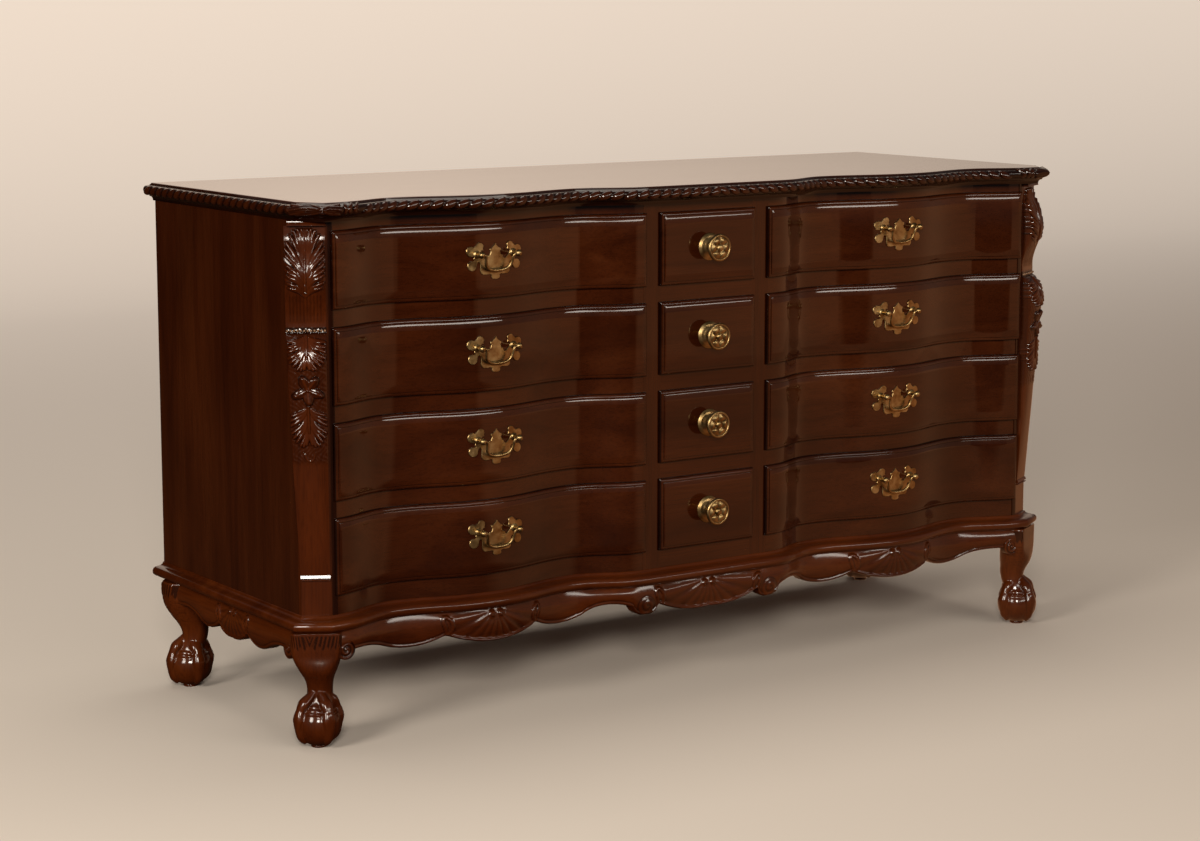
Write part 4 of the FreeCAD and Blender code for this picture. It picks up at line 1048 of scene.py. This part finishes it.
def apron_grid(arcs, shells, scrolls):
    """Flat pattern of an apron: places along it, heights, how far its face stands out, and the painted shade
    in its cuts and groove.
    """
    end = arcs[-1][-1][0] + APRON_TENON
    u = np.linspace(-end, end, round(2 * end / APRON_STEP))
    down = np.concatenate([np.linspace(0, 0.84, 22), np.linspace(0.87, 1, 9)])
    edge = scallop_edge(u, arcs)
    uu = np.repeat(u[None, :], len(down), axis=0)
    zz = APRON_TOP + (edge - APRON_TOP)[None, :] * down[:, None]
    edges = np.repeat(edge[None, :], len(down), axis=0)
    over = zz - edges
    carving = Carving(uu, zz)
    for centre, radius in scrolls:
        height = float(scallop_edge(np.array([centre]), arcs)[0]) + radius * 0.95
        for sign in (-1, 1):
            carving.boss(sign * centre, height, radius, 3.2, turns=1.6)
    for centre, half in shells:
        for place in {centre, -centre}:
            shell_carving(carving, place, half, edges)
    rim = np.exp(-(((over - 2.4) / 1.9) ** 2))
    groove = np.exp(-(((over - 6.4) / 1.3) ** 2))
    plain = carving.rise < 0.4
    face = APRON_FACE - 6 + 9 * np.sin(math.pi * (0.12 + 0.7 * down))[:, None] + carving.rise
    face = face + 1.3 * rim - 0.8 * groove * plain
    face[-1] -= 1.6
    cuts = np.clip(np.maximum(carving.cut, 0.6 * groove * plain), 0, 1)
    return uu, zz, face, cuts


def front_apron():
    u, z, face, cuts = apron_grid(FRONT_SCALLOPS, FRONT_SHELLS, FRONT_SCROLLS)
    front = np.stack([u, serpentine(u, APRON_FACE) + APRON_FACE - face, z], axis=-1)
    back = np.stack([u, serpentine(u, APRON_FACE - APRON_THICK), z], axis=-1)
    shell = Shell()
    shell.slab(front, back, cuts)
    shell.build("front apron", worn_and_lit_across, "case", "mahogany", ["front_apron"])


def side_aprons():
    u, z, face, cuts = apron_grid(SIDE_SCALLOPS, SIDE_SHELLS, ())
    low, high = extent("side_aprons")
    y = (low[1] + high[1]) / 2 + u
    shell = Shell()
    for sign in SIDES.values():
        back = np.full_like(u, sign * (CASE_SIDE + APRON_FACE - APRON_THICK))
        sheets = [np.stack([x, y, z], axis=-1) for x in (sign * (CASE_SIDE + face), back)]
        shell.slab(*sheets, cuts)
    shell.build("side aprons", worn_and_lit_deep, "case", "mahogany", ["side_aprons"])


front_apron()
side_aprons()

# Cabriole legs with ball-and-claw feet, carved once about the foot's centre and turned to the four corners
LEG_PLACES = {"front_left_leg": (-727.7, -222, 225), "front_right_leg": (727.7, -222, 315),
              "back_left_leg": (-727.7, 225, 135), "back_right_leg": (727.7, 225, 45)}
LEG_TOP = BASE_UNDER
# Height, reach outwards, reach inwards and half width of the shank
SHANK_LINE = ((62, 20, -22, 24), (72, 14, -26, 21), (84, 10, -30, 19.2), (96, 11.5, -32, 19.6),
              (108, 17, -32, 22.5), (122, 27, -33, 29), (138, 37, -33, 35), (152, 41.5, -33, 38),
              (166, 42, -33, 38.5), (181, 41, -33, 38.5))
SHANK_SIDES, SHANK_SQUARENESS = 44, 2.5
BALL_CENTRE, BALL_RADIUS = 36.5, 35.0
TALON_LINE = ((9, 86), (16, 79), (25, 71), (31.5, 60), (35, 46), (34.5, 33), (31, 18), (24, 8))
TALON_RADII = (4.6, 6.4, 8.0, 6.2, 8.2, 6.2, 5.4, 2.6)
TALON_BREADTH, TALON_STEPS = 1.35, 5
FOLD_LEVELS, FOLD_SPREAD = (66, 61.5, 57), 0.42
FOLD_STEPS, FOLD_RADIUS, FOLD_PROUD, FOLD_SAG = 9, 2.0, 0.8, 9
VOXEL, EASE_ROUNDS = 1.25, 4
KNEE_SOFT, KNEE_START, KNEE_RISE = 4.0, 96, 50
REACH_SOFT, REACH_LIMIT = 38, 42
FRINGE_DEPTH, FRINGE_PITCH, FRINGE_END, VEE_HALF = 24, 6.2, 48, 9.0
KNEE_ROUND, STIPPLE_FOOT = 38, 104
FOOT_PAD = ((0, 11), (0.6, 12), (3, 12), (4.4, 11))
EAR_FRONT, EAR_SIDE, EAR_RADIUS, EAR_STEPS = (690, -240, 151), (753, -184, 150), 15.5, 48
EAR_TURNS, EAR_DEPTH = 2.1, 9


def shank(shell):
    angles = around(SHANK_SIDES)
    circle = np.cos(angles), np.sin(angles)
    waves = [np.sign(wave) * np.abs(wave) ** (2 / SHANK_SQUARENESS) for wave in circle]
    rings = []
    for z, outer, inner, half in smooth_path(SHANK_LINE, 5):
        middle, depth = (outer + inner) / 2, (outer - inner) / 2
        rings.append(np.column_stack([middle + depth * waves[0], half * waves[1], np.full(SHANK_SIDES, z)]))
    shell.tube(rings)


def talons(shell):
    """Four claws of oval section that grip the ball, with folds of skin between them."""
    angles = around(SHANK_SIDES)[::2]
    across, beside = np.cos(angles), np.sin(angles)
    run = smooth_path(TALON_LINE, TALON_STEPS)
    thick = np.interp(np.arange(len(run)), np.arange(len(TALON_RADII)) * TALON_STEPS, TALON_RADII)
    along = np.gradient(run, axis=0)
    outward = np.column_stack([-along[:, 1], along[:, 0]]) / np.linalg.norm(along, axis=1)[:, None]
    for quarter in range(4):
        heading = (quarter + 0.5) * math.pi / 2
        ahead = np.array([math.cos(heading), math.sin(heading)])
        aside = np.array([-math.sin(heading), math.cos(heading)])
        rings = []
        for (reach, z), radius, lie in zip(run, thick, outward):
            ring = (reach + radius * across * lie[0])[:, None] * ahead
            ring = ring + (TALON_BREADTH * radius * beside)[:, None] * aside
            rings.append(np.column_stack([ring, z + radius * across * lie[1]]))
        shell.tube(rings)
        gap = heading + math.pi / 4
        for level in FOLD_LEVELS:
            reach = math.sqrt(BALL_RADIUS**2 - (level - BALL_CENTRE) ** 2) + FOLD_PROUD
            fold = [(reach * math.cos(gap + a), reach * math.sin(gap + a), level - FOLD_SAG * a * a)
                    for a in np.linspace(-FOLD_SPREAD, FOLD_SPREAD, FOLD_STEPS)]
            shell.swept(fold, np.full(FOLD_STEPS, FOLD_RADIUS), 8)


def leg_blank():
    """Shank, ball, talons and folds of skin grown into one skin and eased a little, as a mesh in metres."""
    shell = Shell()
    shank(shell)
    shell.turned(ball_profile(BALL_RADIUS, -64, 88, 24), (0, 0, BALL_CENTRE), UP, 48)
    talons(shell)
    mesh = shell.mesh("leg blank")
    turn_outwards(mesh)
    blank = in_scene("leg blank", mesh)
    skin = blank.modifiers.new("one skin", "REMESH")
    skin.mode = "VOXEL"
    skin.voxel_size = VOXEL * MM
    ease = blank.modifiers.new("eased", "SMOOTH")
    ease.factor, ease.iterations = 0.5, EASE_ROUNDS
    return settled(blank)


def knee_pattern(points):
    """Height, and painted shade with glaze, of the fringe round the top of the knee: a V in the middle,
    strokes beside it.
    """
    x, y, z = points.T
    arc = np.abs(np.arctan2(y, x)) * KNEE_ROUND
    foot = LEG_TOP - FRINGE_DEPTH
    band = between(z, foot + 3 * np.sin(arc * 0.6), LEG_TOP - 1.5, 3) * (x > -18)
    slope = VEE_HALF * (z - foot) / FRINGE_DEPTH
    vee = np.clip(1 - np.abs(arc - slope) / 1.5, 0, 1)
    inner = np.clip(1 - np.abs(arc - slope + 4.6) / 1.2, 0, 1) * (arc < slope)
    strokes = np.clip(np.cos(2 * math.pi * (arc - 0.22 * (z - foot) - 9.5) / FRINGE_PITCH), 0, 1)
    strokes = strokes * between(arc, slope + 2, FRINGE_END, 1)
    height = band * np.maximum(np.maximum(2.2 * vee, 1.7 * inner), 1.9 * strokes)
    stipple = np.sin(y * 2.1 + 1.7 * np.sin(z * 1.3)) * np.sin(z * 1.9 + 1.3 * np.sin(y * 1.1))
    lower = between(z, STIPPLE_FOOT, foot, 6) * (x > -8)
    height = height + 0.28 * lower * stipple
    # Painted shade low in the fringe and in the troughs of the stippling below it
    leg_shade_and_glaze = np.clip(0.9 * band * (0.9 - height), 0, 1) + 0.7 * lower * np.clip(-stipple - 0.2, 0, 1)
    return height, leg_shade_and_glaze


def volute(shell, centre, out, hand):
    """The scrolled ear beside a knee: a low boss with a spiral cut into it."""
    centre, out = np.array(centre), np.array(out, float)
    angles = around(EAR_STEPS)
    spokes = np.outer(np.cos(angles), np.cross(out, UP)) + np.outer(np.sin(angles), UP)
    foot = ((EAR_DEPTH, 1.0), (0, 1.02))
    rings = [centre - out * depth + spokes * EAR_RADIUS * radius for depth, radius in foot]
    # Painted shade on the ear's rim and in its spiral groove
    shade_and_glaze = [np.full(EAR_STEPS, 0.8) for _ in rings]
    for share in np.linspace(1.0, 0.04, 16):
        spiral = 0.5 + 0.5 * np.cos(hand * angles + 2 * math.pi * EAR_TURNS * share)
        height = 4 + 3.4 * math.sqrt(1 - 0.9 * share**2) - 2.2 * (1 - spiral) * (share < 0.96)
        rings.append(centre + np.outer(height, out) + spokes * EAR_RADIUS * share)
        shade_and_glaze.append(0.9 * (1 - spiral) ** 1.5)
    shell.tube(rings, np.concatenate(shade_and_glaze))


def under_base(points, sign):
    """Keeps the knee of a front leg flush with the nose of the base moulding above it."""
    limit = CANT_NORMAL.dot(CANT_SIDE) + BASE_NOSE - 2
    proud = points[:, 0] * sign * CANT_NORMAL[0] + points[:, 1] * CANT_NORMAL[1] - limit
    share = np.clip((points[:, 2] - KNEE_START) / KNEE_RISE, 0, 1)
    back = KNEE_SOFT * np.log1p(np.exp(proud / KNEE_SOFT)) * share**2 * (3 - 2 * share)
    across, ahead = CANT_NORMAL
    return points - np.column_stack([sign * across * back, ahead * back, np.zeros(len(points))])


def carved_leg():
    """Points, faces, and painted shade with glaze, of one leg about its foot, its knee pointing along X."""
    blank = leg_blank()
    points, normals = np.empty(len(blank.vertices) * 3), np.empty(len(blank.vertices) * 3)
    blank.vertices.foreach_get("co", points)
    blank.vertex_normals.foreach_get("vector", normals)
    points, normals = points.reshape(-1, 3) / MM, normals.reshape(-1, 3)
    faces = [list(p.vertices) for p in blank.polygons]
    bpy.data.meshes.remove(blank)
    height, leg_shade_and_glaze = knee_pattern(points)
    # Painted shade in the crevices, most on the ball between the talons
    from_ball = np.clip(1 - (np.hypot(points[:, 0], points[:, 1]) - 12) / 40, 0, 0.35)
    crevice = between(points[:, 2], 6, 78, 6) * from_ball
    points = points + normals * height[:, None]
    points[:, 2] = np.clip(points[:, 2], 4, LEG_TOP)
    towards = np.array([[1, 1], [1, -1]]) / math.sqrt(2)
    reach = points[:, :2] @ towards.T
    room = REACH_LIMIT - REACH_SOFT
    reach = np.minimum(reach, REACH_SOFT + room * np.tanh((reach - REACH_SOFT) / room))
    points[:, :2] = reach @ towards
    return points, faces, np.clip(leg_shade_and_glaze + 0.3 * crevice, 0, 1)


def legs():
    points, faces, leg_shade_and_glaze = carved_leg()
    for name, (x, y, heading) in LEG_PLACES.items():
        sine, cosine = math.sin(math.radians(heading)), math.cos(math.radians(heading))
        sign = math.copysign(1, x)
        placed = np.column_stack([x + points[:, 0] * cosine - points[:, 1] * sine,
                                  y + points[:, 0] * sine + points[:, 1] * cosine, points[:, 2]])
        shell = Shell()
        shell.take(under_base(placed, sign) if y < 0 else placed, faces, leg_shade_and_glaze)
        shell.turned(FOOT_PAD, (x, y, 0), UP, 28)
        if y < 0:
            volute(shell, (sign * EAR_SIDE[0], *EAR_SIDE[1:]), (sign, 0, 0), -sign)
            volute(shell, (sign * EAR_FRONT[0], *EAR_FRONT[1:]), FORWARD, sign)
        shell.build(name.replace("_", " "), worn_and_lit_upright, "case", "mahogany", [name], crease=60)


legs()


# Gadroons, beads and nuts: one small form set out along a line
def set_out_tree():
    """Geometry nodes: an object repeated along a line at an even spacing, facing along it."""
    tree = bpy.data.node_groups.new("set out along a line", "GeometryNodeTree")
    inputs = {"Line": "Geometry", "Carved form": "Object", "Count": "Int", "Finish": "Material"}
    for name, kind in inputs.items():
        tree.interface.new_socket(name, in_out="INPUT", socket_type=f"NodeSocket{kind}")
    tree.interface.new_socket("Carving", in_out="OUTPUT", socket_type="NodeSocketGeometry")
    start = add(tree, "NodeGroupInput").outputs
    curve = add(tree, "GeometryNodeMeshToCurve", Mesh=start["Line"]).outputs["Curve"]
    spaced = add(tree, "GeometryNodeResampleCurve", Curve=curve, Count=start["Count"]).outputs["Curve"]
    tangent = add(tree, "GeometryNodeInputTangent").outputs["Tangent"]
    facing = add(tree, "FunctionNodeAlignRotationToVector", {"axis": "X", "pivot_axis": "Z"}, Vector=tangent)
    form = add(tree, "GeometryNodeObjectInfo", Object=start["Carved form"]).outputs["Geometry"]
    placed = add(tree, "GeometryNodeInstanceOnPoints", Points=spaced, Instance=form,
                 Rotation=facing.outputs["Rotation"]).outputs["Instances"]
    real = add(tree, "GeometryNodeRealizeInstances", Geometry=placed).outputs["Geometry"]
    painted = add(tree, "GeometryNodeSetMaterial", Geometry=real, Material=start["Finish"])
    add(tree, "NodeGroupOutput", Carving=painted.outputs["Geometry"])
    return tree


SET_OUT = set_out_tree()


def set_out(name, line, form, count, finish):
    """Evaluates the set-out along one line and returns the plain mesh, in metres."""
    mesh = bpy.data.meshes.new(name)
    mesh.from_pydata((np.asarray(line) * MM).tolist(), [(i, i + 1) for i in range(len(line) - 1)], [])
    holder = in_scene(name, mesh)
    modifier = holder.modifiers.new("set out", "NODES")
    modifier.node_group = SET_OUT
    sockets = {s.name: s.identifier for s in SET_OUT.interface.items_tree if s.in_out == "INPUT"}
    for socket, value in (("Carved form", form), ("Count", count), ("Finish", finish)):
        modifier[sockets[socket]] = value
    holder.update_tag()
    return settled(holder)


def form_object(shell, name):
    """A small form as an object to be repeated."""
    return in_scene(name, shell.mesh(name))


GADROON_LEAN = 8.0
FRONT_PITCH, SIDE_PITCH = 20.0, 22.0
GADROON_START, GADROON_SWEEP, GADROON_ROOT, GADROON_SUNK = 96, 186, 5.8, 1.3
# The lobe's ridge from the arris round to the cove: distance outwards and height over the top's face
GADROON_SECTION = ((6.5, -4.6), (9.5, -3.0), (12.6, -4.2), (14.8, -6.4), (16.2, -9.2), (17.0, -13.4),
                   (16.4, -16.2), (14.2, -18.6), (11.0, -19.6), (8.0, -19.0))


def gadroon(lean, pitch):
    """One lobe over the roll of the top board, leaning to one side; X runs along the edge, -Y out."""
    tt, ww = np.meshgrid(np.linspace(0, 1, 13), np.linspace(-1, 1, 9), indexing="ij")
    angle = np.radians(GADROON_START - GADROON_SWEEP * tt)
    full = 0.36 + 0.64 * np.sin(math.pi * np.clip(0.94 * tt**1.5 + 0.03, 0, 1)) ** 0.8
    places = np.linspace(0, 1, len(GADROON_SECTION))
    section = np.stack([np.interp(tt, places, line) for line in np.array(GADROON_SECTION).T])
    ridge = np.sqrt(np.clip(1 - (0.97 * ww) ** 2, 0, 1))
    x = lean * GADROON_LEAN * (2 * tt - 1) + 0.5 * pitch * full * ww
    sheets = []
    for radius, rise in ((GADROON_ROOT, ridge), (GADROON_ROOT - GADROON_SUNK, np.zeros_like(ridge))):
        root = np.stack([NOSE_CENTRE[0] + radius * np.cos(angle), NOSE_CENTRE[1] + radius * np.sin(angle)])
        out, z = root + (section + np.array([0, TOP_FACE])[:, None, None] - root) * rise
        sheets.append(np.stack([x, -out, z], axis=-1))
    shade = 0.15 + 0.85 * np.abs(ww) ** 3 + 0.5 * np.clip(0.3 - tt, 0, 1) / 0.3
    shell = Shell()
    shell.slab(*sheets, np.clip(shade, 0, 1))
    return form_object(shell, f"gadroon form {lean} {pitch}")


# Leaf over each canted corner of the top, as spine, width, height and vein: the first number of a spine
# runs from the side's corner over the cant to the front, the second up over the roll
LEAF_SIDE, LEAF_FRONT, LEAF_LIMIT, LEAF_GAP = 10.0, 62.0, 10.4, 8
LEAF_LOW, LEAF_HIGH, LEAF_GIRTH = -84, 100, 24
LEAF_GROUND, LEAF_SUNK = 6.8, 4.5
CORNER_LEAVES = (
    (((44, 12), (28, 14), (10, 12), (-4, 8)), 5.6, 4.4, 4.0),
    (((46, 14), (34, 19), (20, 22), (10, 21)), 4.4, 3.8, 3.6),
    (((46, 9), (34, 5.5), (20, 4), (10, 3)), 4.2, 3.8, 3.6),
    (((24, 14), (14, 18), (4, 19)), 3.4, 3.4, 0),
    (((22, 10), (12, 5), (2, 3)), 3.4, 3.4, 0),
    (((48, 12), (60, 13), (78, 11)), 6.4, 4.6, 4.2),
    (((50, 15), (60, 20), (74, 20)), 3.8, 3.6, 0),
    (((50, 9), (60, 4), (74, 3.5)), 3.8, 3.6, 0),
    (((84, 2), (87, 11), (84, 21)), 3.4, 4.2, 0),
    (((93, 3), (94, 12), (96, 21)), 4.4, 4.2, 0),
    (((104, 3), (105, 12), (108, 21)), 4.6, 4.2, 0),
)


def top_corner_place(sign, s, out):
    """Plan point at s along the corner of the top: behind 0 on the side, then the cant, then the front."""
    line = [top_line(o)[[-2, -3]] for o in (0.0, 1.0)]
    side, front = [line[0][end] + (line[1][end] - line[0][end]) * out[..., None] for end in (0, 1)]
    run = np.linalg.norm(line[0][1] - line[0][0])
    place = side + (front - side) * np.clip(s / run, 0, 1)[..., None]
    place[..., 1] += np.clip(-s, 0, None)
    ahead = np.clip(s - run, 0, None)
    along = front[..., 0] - ahead
    place[..., 0] = np.where(ahead > 0, along, place[..., 0])
    flat = serpentine(along, ARRIS_FRONT)
    curved = np.array([serpentine(row, ARRIS_FRONT + reach) for row, reach in zip(along, out.mean(axis=1))])
    curved = flat + (curved - flat) * out / out.mean(axis=1)[:, None]
    place[..., 1] = np.where(ahead > 0, curved, place[..., 1])
    return place * (sign, 1)


def corner_leaves():
    """Leaf carving over both canted corners, on the roll of the top board."""
    run = np.linalg.norm(np.diff(top_line(0.0)[[-2, -3]], axis=0))
    places = np.linspace(-LEAF_SIDE, run + LEAF_FRONT, 150)
    s, turn = np.meshgrid(places, np.linspace(LEAF_LOW, LEAF_HIGH, 34))
    carving = Carving(s, (turn - LEAF_LOW) / (LEAF_HIGH - LEAF_LOW) * LEAF_GIRTH)
    for leaf in CORNER_LEAVES:
        carving.leaf(*leaf)
    carving.boss(-2, 8, 5.5, 4.6, turns=1.2)
    radius = np.minimum(LEAF_GROUND + 0.85 * carving.rise, LEAF_LIMIT)
    shell = Shell()
    for sign in SIDES.values():
        sheets = []
        for reach in (radius, np.full_like(radius, LEAF_SUNK)):
            out = NOSE_CENTRE[0] + reach * np.cos(np.radians(turn))
            height = NOSE_CENTRE[1] + reach * np.sin(np.radians(turn))
            sheets.append(np.concatenate([top_corner_place(sign, s, out), height[..., None]], axis=-1))
        # Painted shade over the whole leaf, deeper in its cuts
        shell.slab(*sheets, np.clip(0.2 + carving.cut, 0, 1))
    shell.build("top corner leaves", mahogany_across, "case", "mahogany")


def gadroon_edge():
    """Lobes along both ends and both halves of the front, leaning away from the middle."""
    line = at_height(top_line(0.0), 0.0)
    front = line[2:-2]
    middle = len(front) // 2
    behind, before = np.array([0, -15, 0]), np.array([0, LEAF_SIDE + LEAF_GAP, 0])
    first, last = np.flatnonzero(np.abs(front[:, 0]) < front[-1, 0] - LEAF_FRONT - LEAF_GAP)[[0, -1]]
    runs = [(np.linspace(line[0] + behind, line[1] + before, 40), -1, SIDE_PITCH),
            (front[first:middle - 1], -1, FRONT_PITCH), (front[middle + 2:last], 1, FRONT_PITCH),
            (np.linspace(line[-2] + before, line[-1] + behind, 40), 1, SIDE_PITCH)]
    parts = []
    for number, (run, lean, pitch) in enumerate(runs):
        form = gadroon(lean, pitch)
        count = round(np.linalg.norm(np.diff(run, axis=0), axis=1).sum() / pitch) + 1
        parts.append(set_out(f"gadroon run {number}", run, form, count, mahogany_across))
        bpy.data.objects.remove(form)
    finish_mesh(joined("gadroon edge", parts), "gadroon edge", mahogany_across, "case")


BEAD_RADIUS, BEAD_COUNT, BEAD_LIFT = 1.85, 12, 1.2


def bead_rows():
    """A row of beads across each post."""
    middle, half = console_span(BEAD_ROW)
    share = np.linspace(-0.93, 0.93, BEAD_COUNT)
    out = console_out(BEAD_ROW) * console_crown(share) + BEAD_LIFT
    shell = Shell()
    shell.turned(ball_profile(BEAD_RADIUS, -85, 85, 9), (0, 0, 0), UP, 12)
    bead = form_object(shell, "bead form")
    parts = []
    for side_name, sign in SIDES.items():
        row = post_place(sign, middle + half * share, out, BEAD_ROW)
        # The beads take the lighter rubbed tones, which paint a highlight on each
        parts.append(set_out(f"{side_name} bead row", row, bead, BEAD_COUNT, rubbed_and_highlit_upright))
    bpy.data.objects.remove(bead)
    finish_mesh(joined("bead rows", parts), "bead rows", rubbed_and_highlit_upright, "case")


# Nuts and screw ends that hold the pulls and knobs, inside the drawer fronts
NUT = ((-1, 5.2), (3.4, 5.2), (4.1, 4.5))
SCREW_END = ((3.5, 2.2), (8.0, 2.2), (8.7, 1.5))
# Length of the line behind a knob, and the play of a pull's second nut to the right
KNOB_STROKE, NUT_PLAY = 2, 1


def front_back(x):
    """Y of the back of a drawer front, which is planed in flats between the turns of the curve."""
    turns = np.array([SWINGS[0][0], *flat_turns()])
    return np.interp(np.abs(x), turns, serpentine(turns, -FRONT_WALL))


def nuts():
    """Two nuts behind each pull, and one behind each knob, whose line is a short stroke from its place."""
    shell = Shell()
    shell.turned(NUT, (0, 0, 0), BACKWARD, 6)
    shell.turned(SCREW_END, (0, 0, 0), BACKWARD, 12)
    form = form_object(shell, "nut form")
    pair = np.array([-0.5, 0.5]) * POST_SPACING + (0, NUT_PLAY)
    for row in ROWS:
        for column, middle, count in (("left", -PULL_X, 2), ("centre", 0, 1), ("right", PULL_X, 2)):
            x = middle + pair if count == 2 else np.array([0, KNOB_STROKE])
            y = front_back(x) if count == 2 else np.full(2, MIDDLE_FACE + FRONT_WALL)
            line = np.column_stack([x, y, np.full(2, PULL_Z[row])])
            mesh = set_out(f"{column} nuts {row}", line, form, count, antique_brass)
            finish_mesh(mesh, f"{column} drawer {row} nuts", antique_brass, f"{column}_drawer_{row}")
    bpy.data.objects.remove(form)


nuts()
gadroon_edge()
corner_leaves()
bead_rows()

# Studio
PALE, FLOOR_BOUNCE, FLOOR_IN_POLISH = (0.72, 0.64, 0.557), (0.17, 0.09, 0.045), (0.045, 0.02, 0.009)
WALL_GLOW, ROOM_GLOW = (0.87, 0.69, 0.55), (0.37, 0.165, 0.075)
CAMERA_GLOW = (0.66, 0.56, 0.47)
AIR, AIR_SEEN = (0.08, 0.076, 0.072, 1), (0.7, 0.6, 0.5, 1)
WALL_Y, WALL_TOP, WALL_BEND, FLOOR_HALF, FLOOR_FRONT = 6.6, 6.0, 1.6, 12.0, -9.0


def studio_surface():
    """Pale to the camera. The polish sees a dark floor, a warm room on the right and a glowing wall."""
    material, tree, shader = new_finish("pale studio")
    path = add(tree, "ShaderNodeLightPath").outputs
    whole = add(tree, "ShaderNodeTexCoord").outputs["Object"]
    place = add(tree, "ShaderNodeSeparateXYZ", Vector=whole).outputs

    def either(ray, otherwise, colour):
        mix = add(tree, "ShaderNodeMix", {"data_type": "RGBA"}, Factor=ray, i6=otherwise, i7=(*colour, 1))
        return mix.outputs[2]

    def fade(value, start, end):
        return ranged(tree, value, start, end)

    def maths(operation, *values):
        inputs = {f"i{number}": value for number, value in enumerate(values)}
        return add(tree, "ShaderNodeMath", {"operation": operation}, **inputs).outputs["Value"]

    def times(a, b):
        return maths("MULTIPLY", a, b)

    def vector(operation, **inputs):
        return add(tree, "ShaderNodeVectorMath", {"operation": operation}, **inputs).outputs["Vector"]

    colour = either(path["Is Glossy Ray"], (*FLOOR_BOUNCE, 1), FLOOR_IN_POLISH)
    colour = either(path["Is Camera Ray"], colour, PALE)
    rising = times(fade(place["Z"], 0.1, 1.7), fade(place["X"], 14.0, 3.4))
    wall = times(times(rising, fade(place["X"], -0.5, 0.8)), path["Is Glossy Ray"])
    slanted = maths("MULTIPLY_ADD", place["Y"], 0.28, place["X"])
    right = times(fade(place["X"], 0.2, 0.6), fade(place["Z"], 0.2, 0.0))
    sides = maths("MAXIMUM", fade(place["Y"], -0.2, -0.5), right)
    room = times(times(fade(slanted, -0.3, 0.0), sides), path["Is Glossy Ray"])
    depth = maths("ADD", place["Y"], place["Z"])
    seen = times(fade(depth, 0.3, 7.8), path["Is Camera Ray"])
    glow = vector("SCALE", i0=WALL_GLOW, Scale=wall)
    for tone, strength in ((ROOM_GLOW, room), (CAMERA_GLOW, seen)):
        glow = vector("ADD", i0=glow, i1=vector("SCALE", i0=tone, Scale=strength))
    feed(tree, shader, Base_Color=colour, Emission_Color=glow, Emission_Strength=1.0, Roughness=0.85,
         Specular_IOR_Level=0.1)
    return material


def backdrop():
    """A pale floor that runs up into a wall behind the dresser."""
    foot = WALL_Y - WALL_BEND
    profile = [(FLOOR_FRONT, 0.0), (foot, 0.0)]
    profile += [(foot + WALL_BEND * math.sin(a), WALL_BEND - WALL_BEND * math.cos(a))
                for a in np.radians(np.linspace(9, 90, 10))]
    profile.append((WALL_Y, WALL_TOP))
    verts = [(x, y, z) for x in (-FLOOR_HALF, FLOOR_HALF) for y, z in profile]
    count = len(profile)
    mesh = bpy.data.meshes.new("studio floor")
    mesh.from_pydata(verts, [], [(i, i + 1, count + i + 1, count + i) for i in range(count - 1)])
    mesh.shade_smooth()
    mesh.materials.append(studio_surface())
    in_scene("studio floor", mesh)


def area_light(name, place, target, size, power, colour, shape="RECTANGLE"):
    data = bpy.data.lights.new(name, "AREA")
    data.shape = shape
    data.size, data.size_y = size
    data.energy = power
    data.color = colour
    lamp = in_scene(name, data)
    lamp.location = place
    lamp.rotation_euler = (Vector(target) - Vector(place)).to_track_quat("-Z", "Y").to_euler()
    lamp.visible_camera = False


WARM = (1.0, 0.93, 0.84)
ROOM_WARM = (1.0, 0.43, 0.2)
backdrop()
area_light("front strip", (0.7, -4.8, 2.0), (0.1, 0, 0.45), (5.8, 0.46), 70, WARM, "ELLIPSE")
area_light("softbox beside the camera", (-3.1, -4.3, 2.2), (-0.2, 0, 0.45), (0.9, 0.9), 135, WARM)
area_light("left lamp", (-4.4, -1.6, 1.9), (-0.6, 0, 0.45), (1.2, 1.2), 100, WARM)
area_light("warm card on the right", (3.95, -1.67, 1.3), (0.07, 1.48, 1.3), (8.0, 2.6), 14, ROOM_WARM)
area_light("ceiling", (0, 0.6, 3.4), (0, 0.3, 0), (3.0, 1.6), 40, WARM)

world = bpy.data.worlds.new("studio air")
world.use_nodes = True
camera_ray = add(world.node_tree, "ShaderNodeLightPath").outputs["Is Camera Ray"]
air = add(world.node_tree, "ShaderNodeMix", {"data_type": "RGBA"}, i6=AIR, i7=AIR_SEEN, Factor=camera_ray)
feed(world.node_tree, world.node_tree.nodes["Background"], Color=air.outputs[2])
bpy.context.scene.world = world
bpy.context.scene.view_settings.view_transform = "Standard"

# Camera: solved from the photo's straight lines for a 1200 by 841 picture
IMAGE_WIDTH = 1200
FOCAL_PIXELS = 2699.3
SHIFT_PIXELS = (-2.0, -17.2)
TILT, TURN = 90 - 8.713, -34.501
camera_data = bpy.data.cameras.new("photo camera")
camera_data.sensor_width = 36
camera_data.lens = camera_data.sensor_width * FOCAL_PIXELS / IMAGE_WIDTH
camera_data.shift_x, camera_data.shift_y = [shift / IMAGE_WIDTH for shift in SHIFT_PIXELS]
camera = in_scene("photo camera", camera_data)
camera.location = (-2.6515, -3.7907, 1.1518)
camera.rotation_euler = (math.radians(TILT), 0, math.radians(TURN))
bpy.context.scene.camera = camera
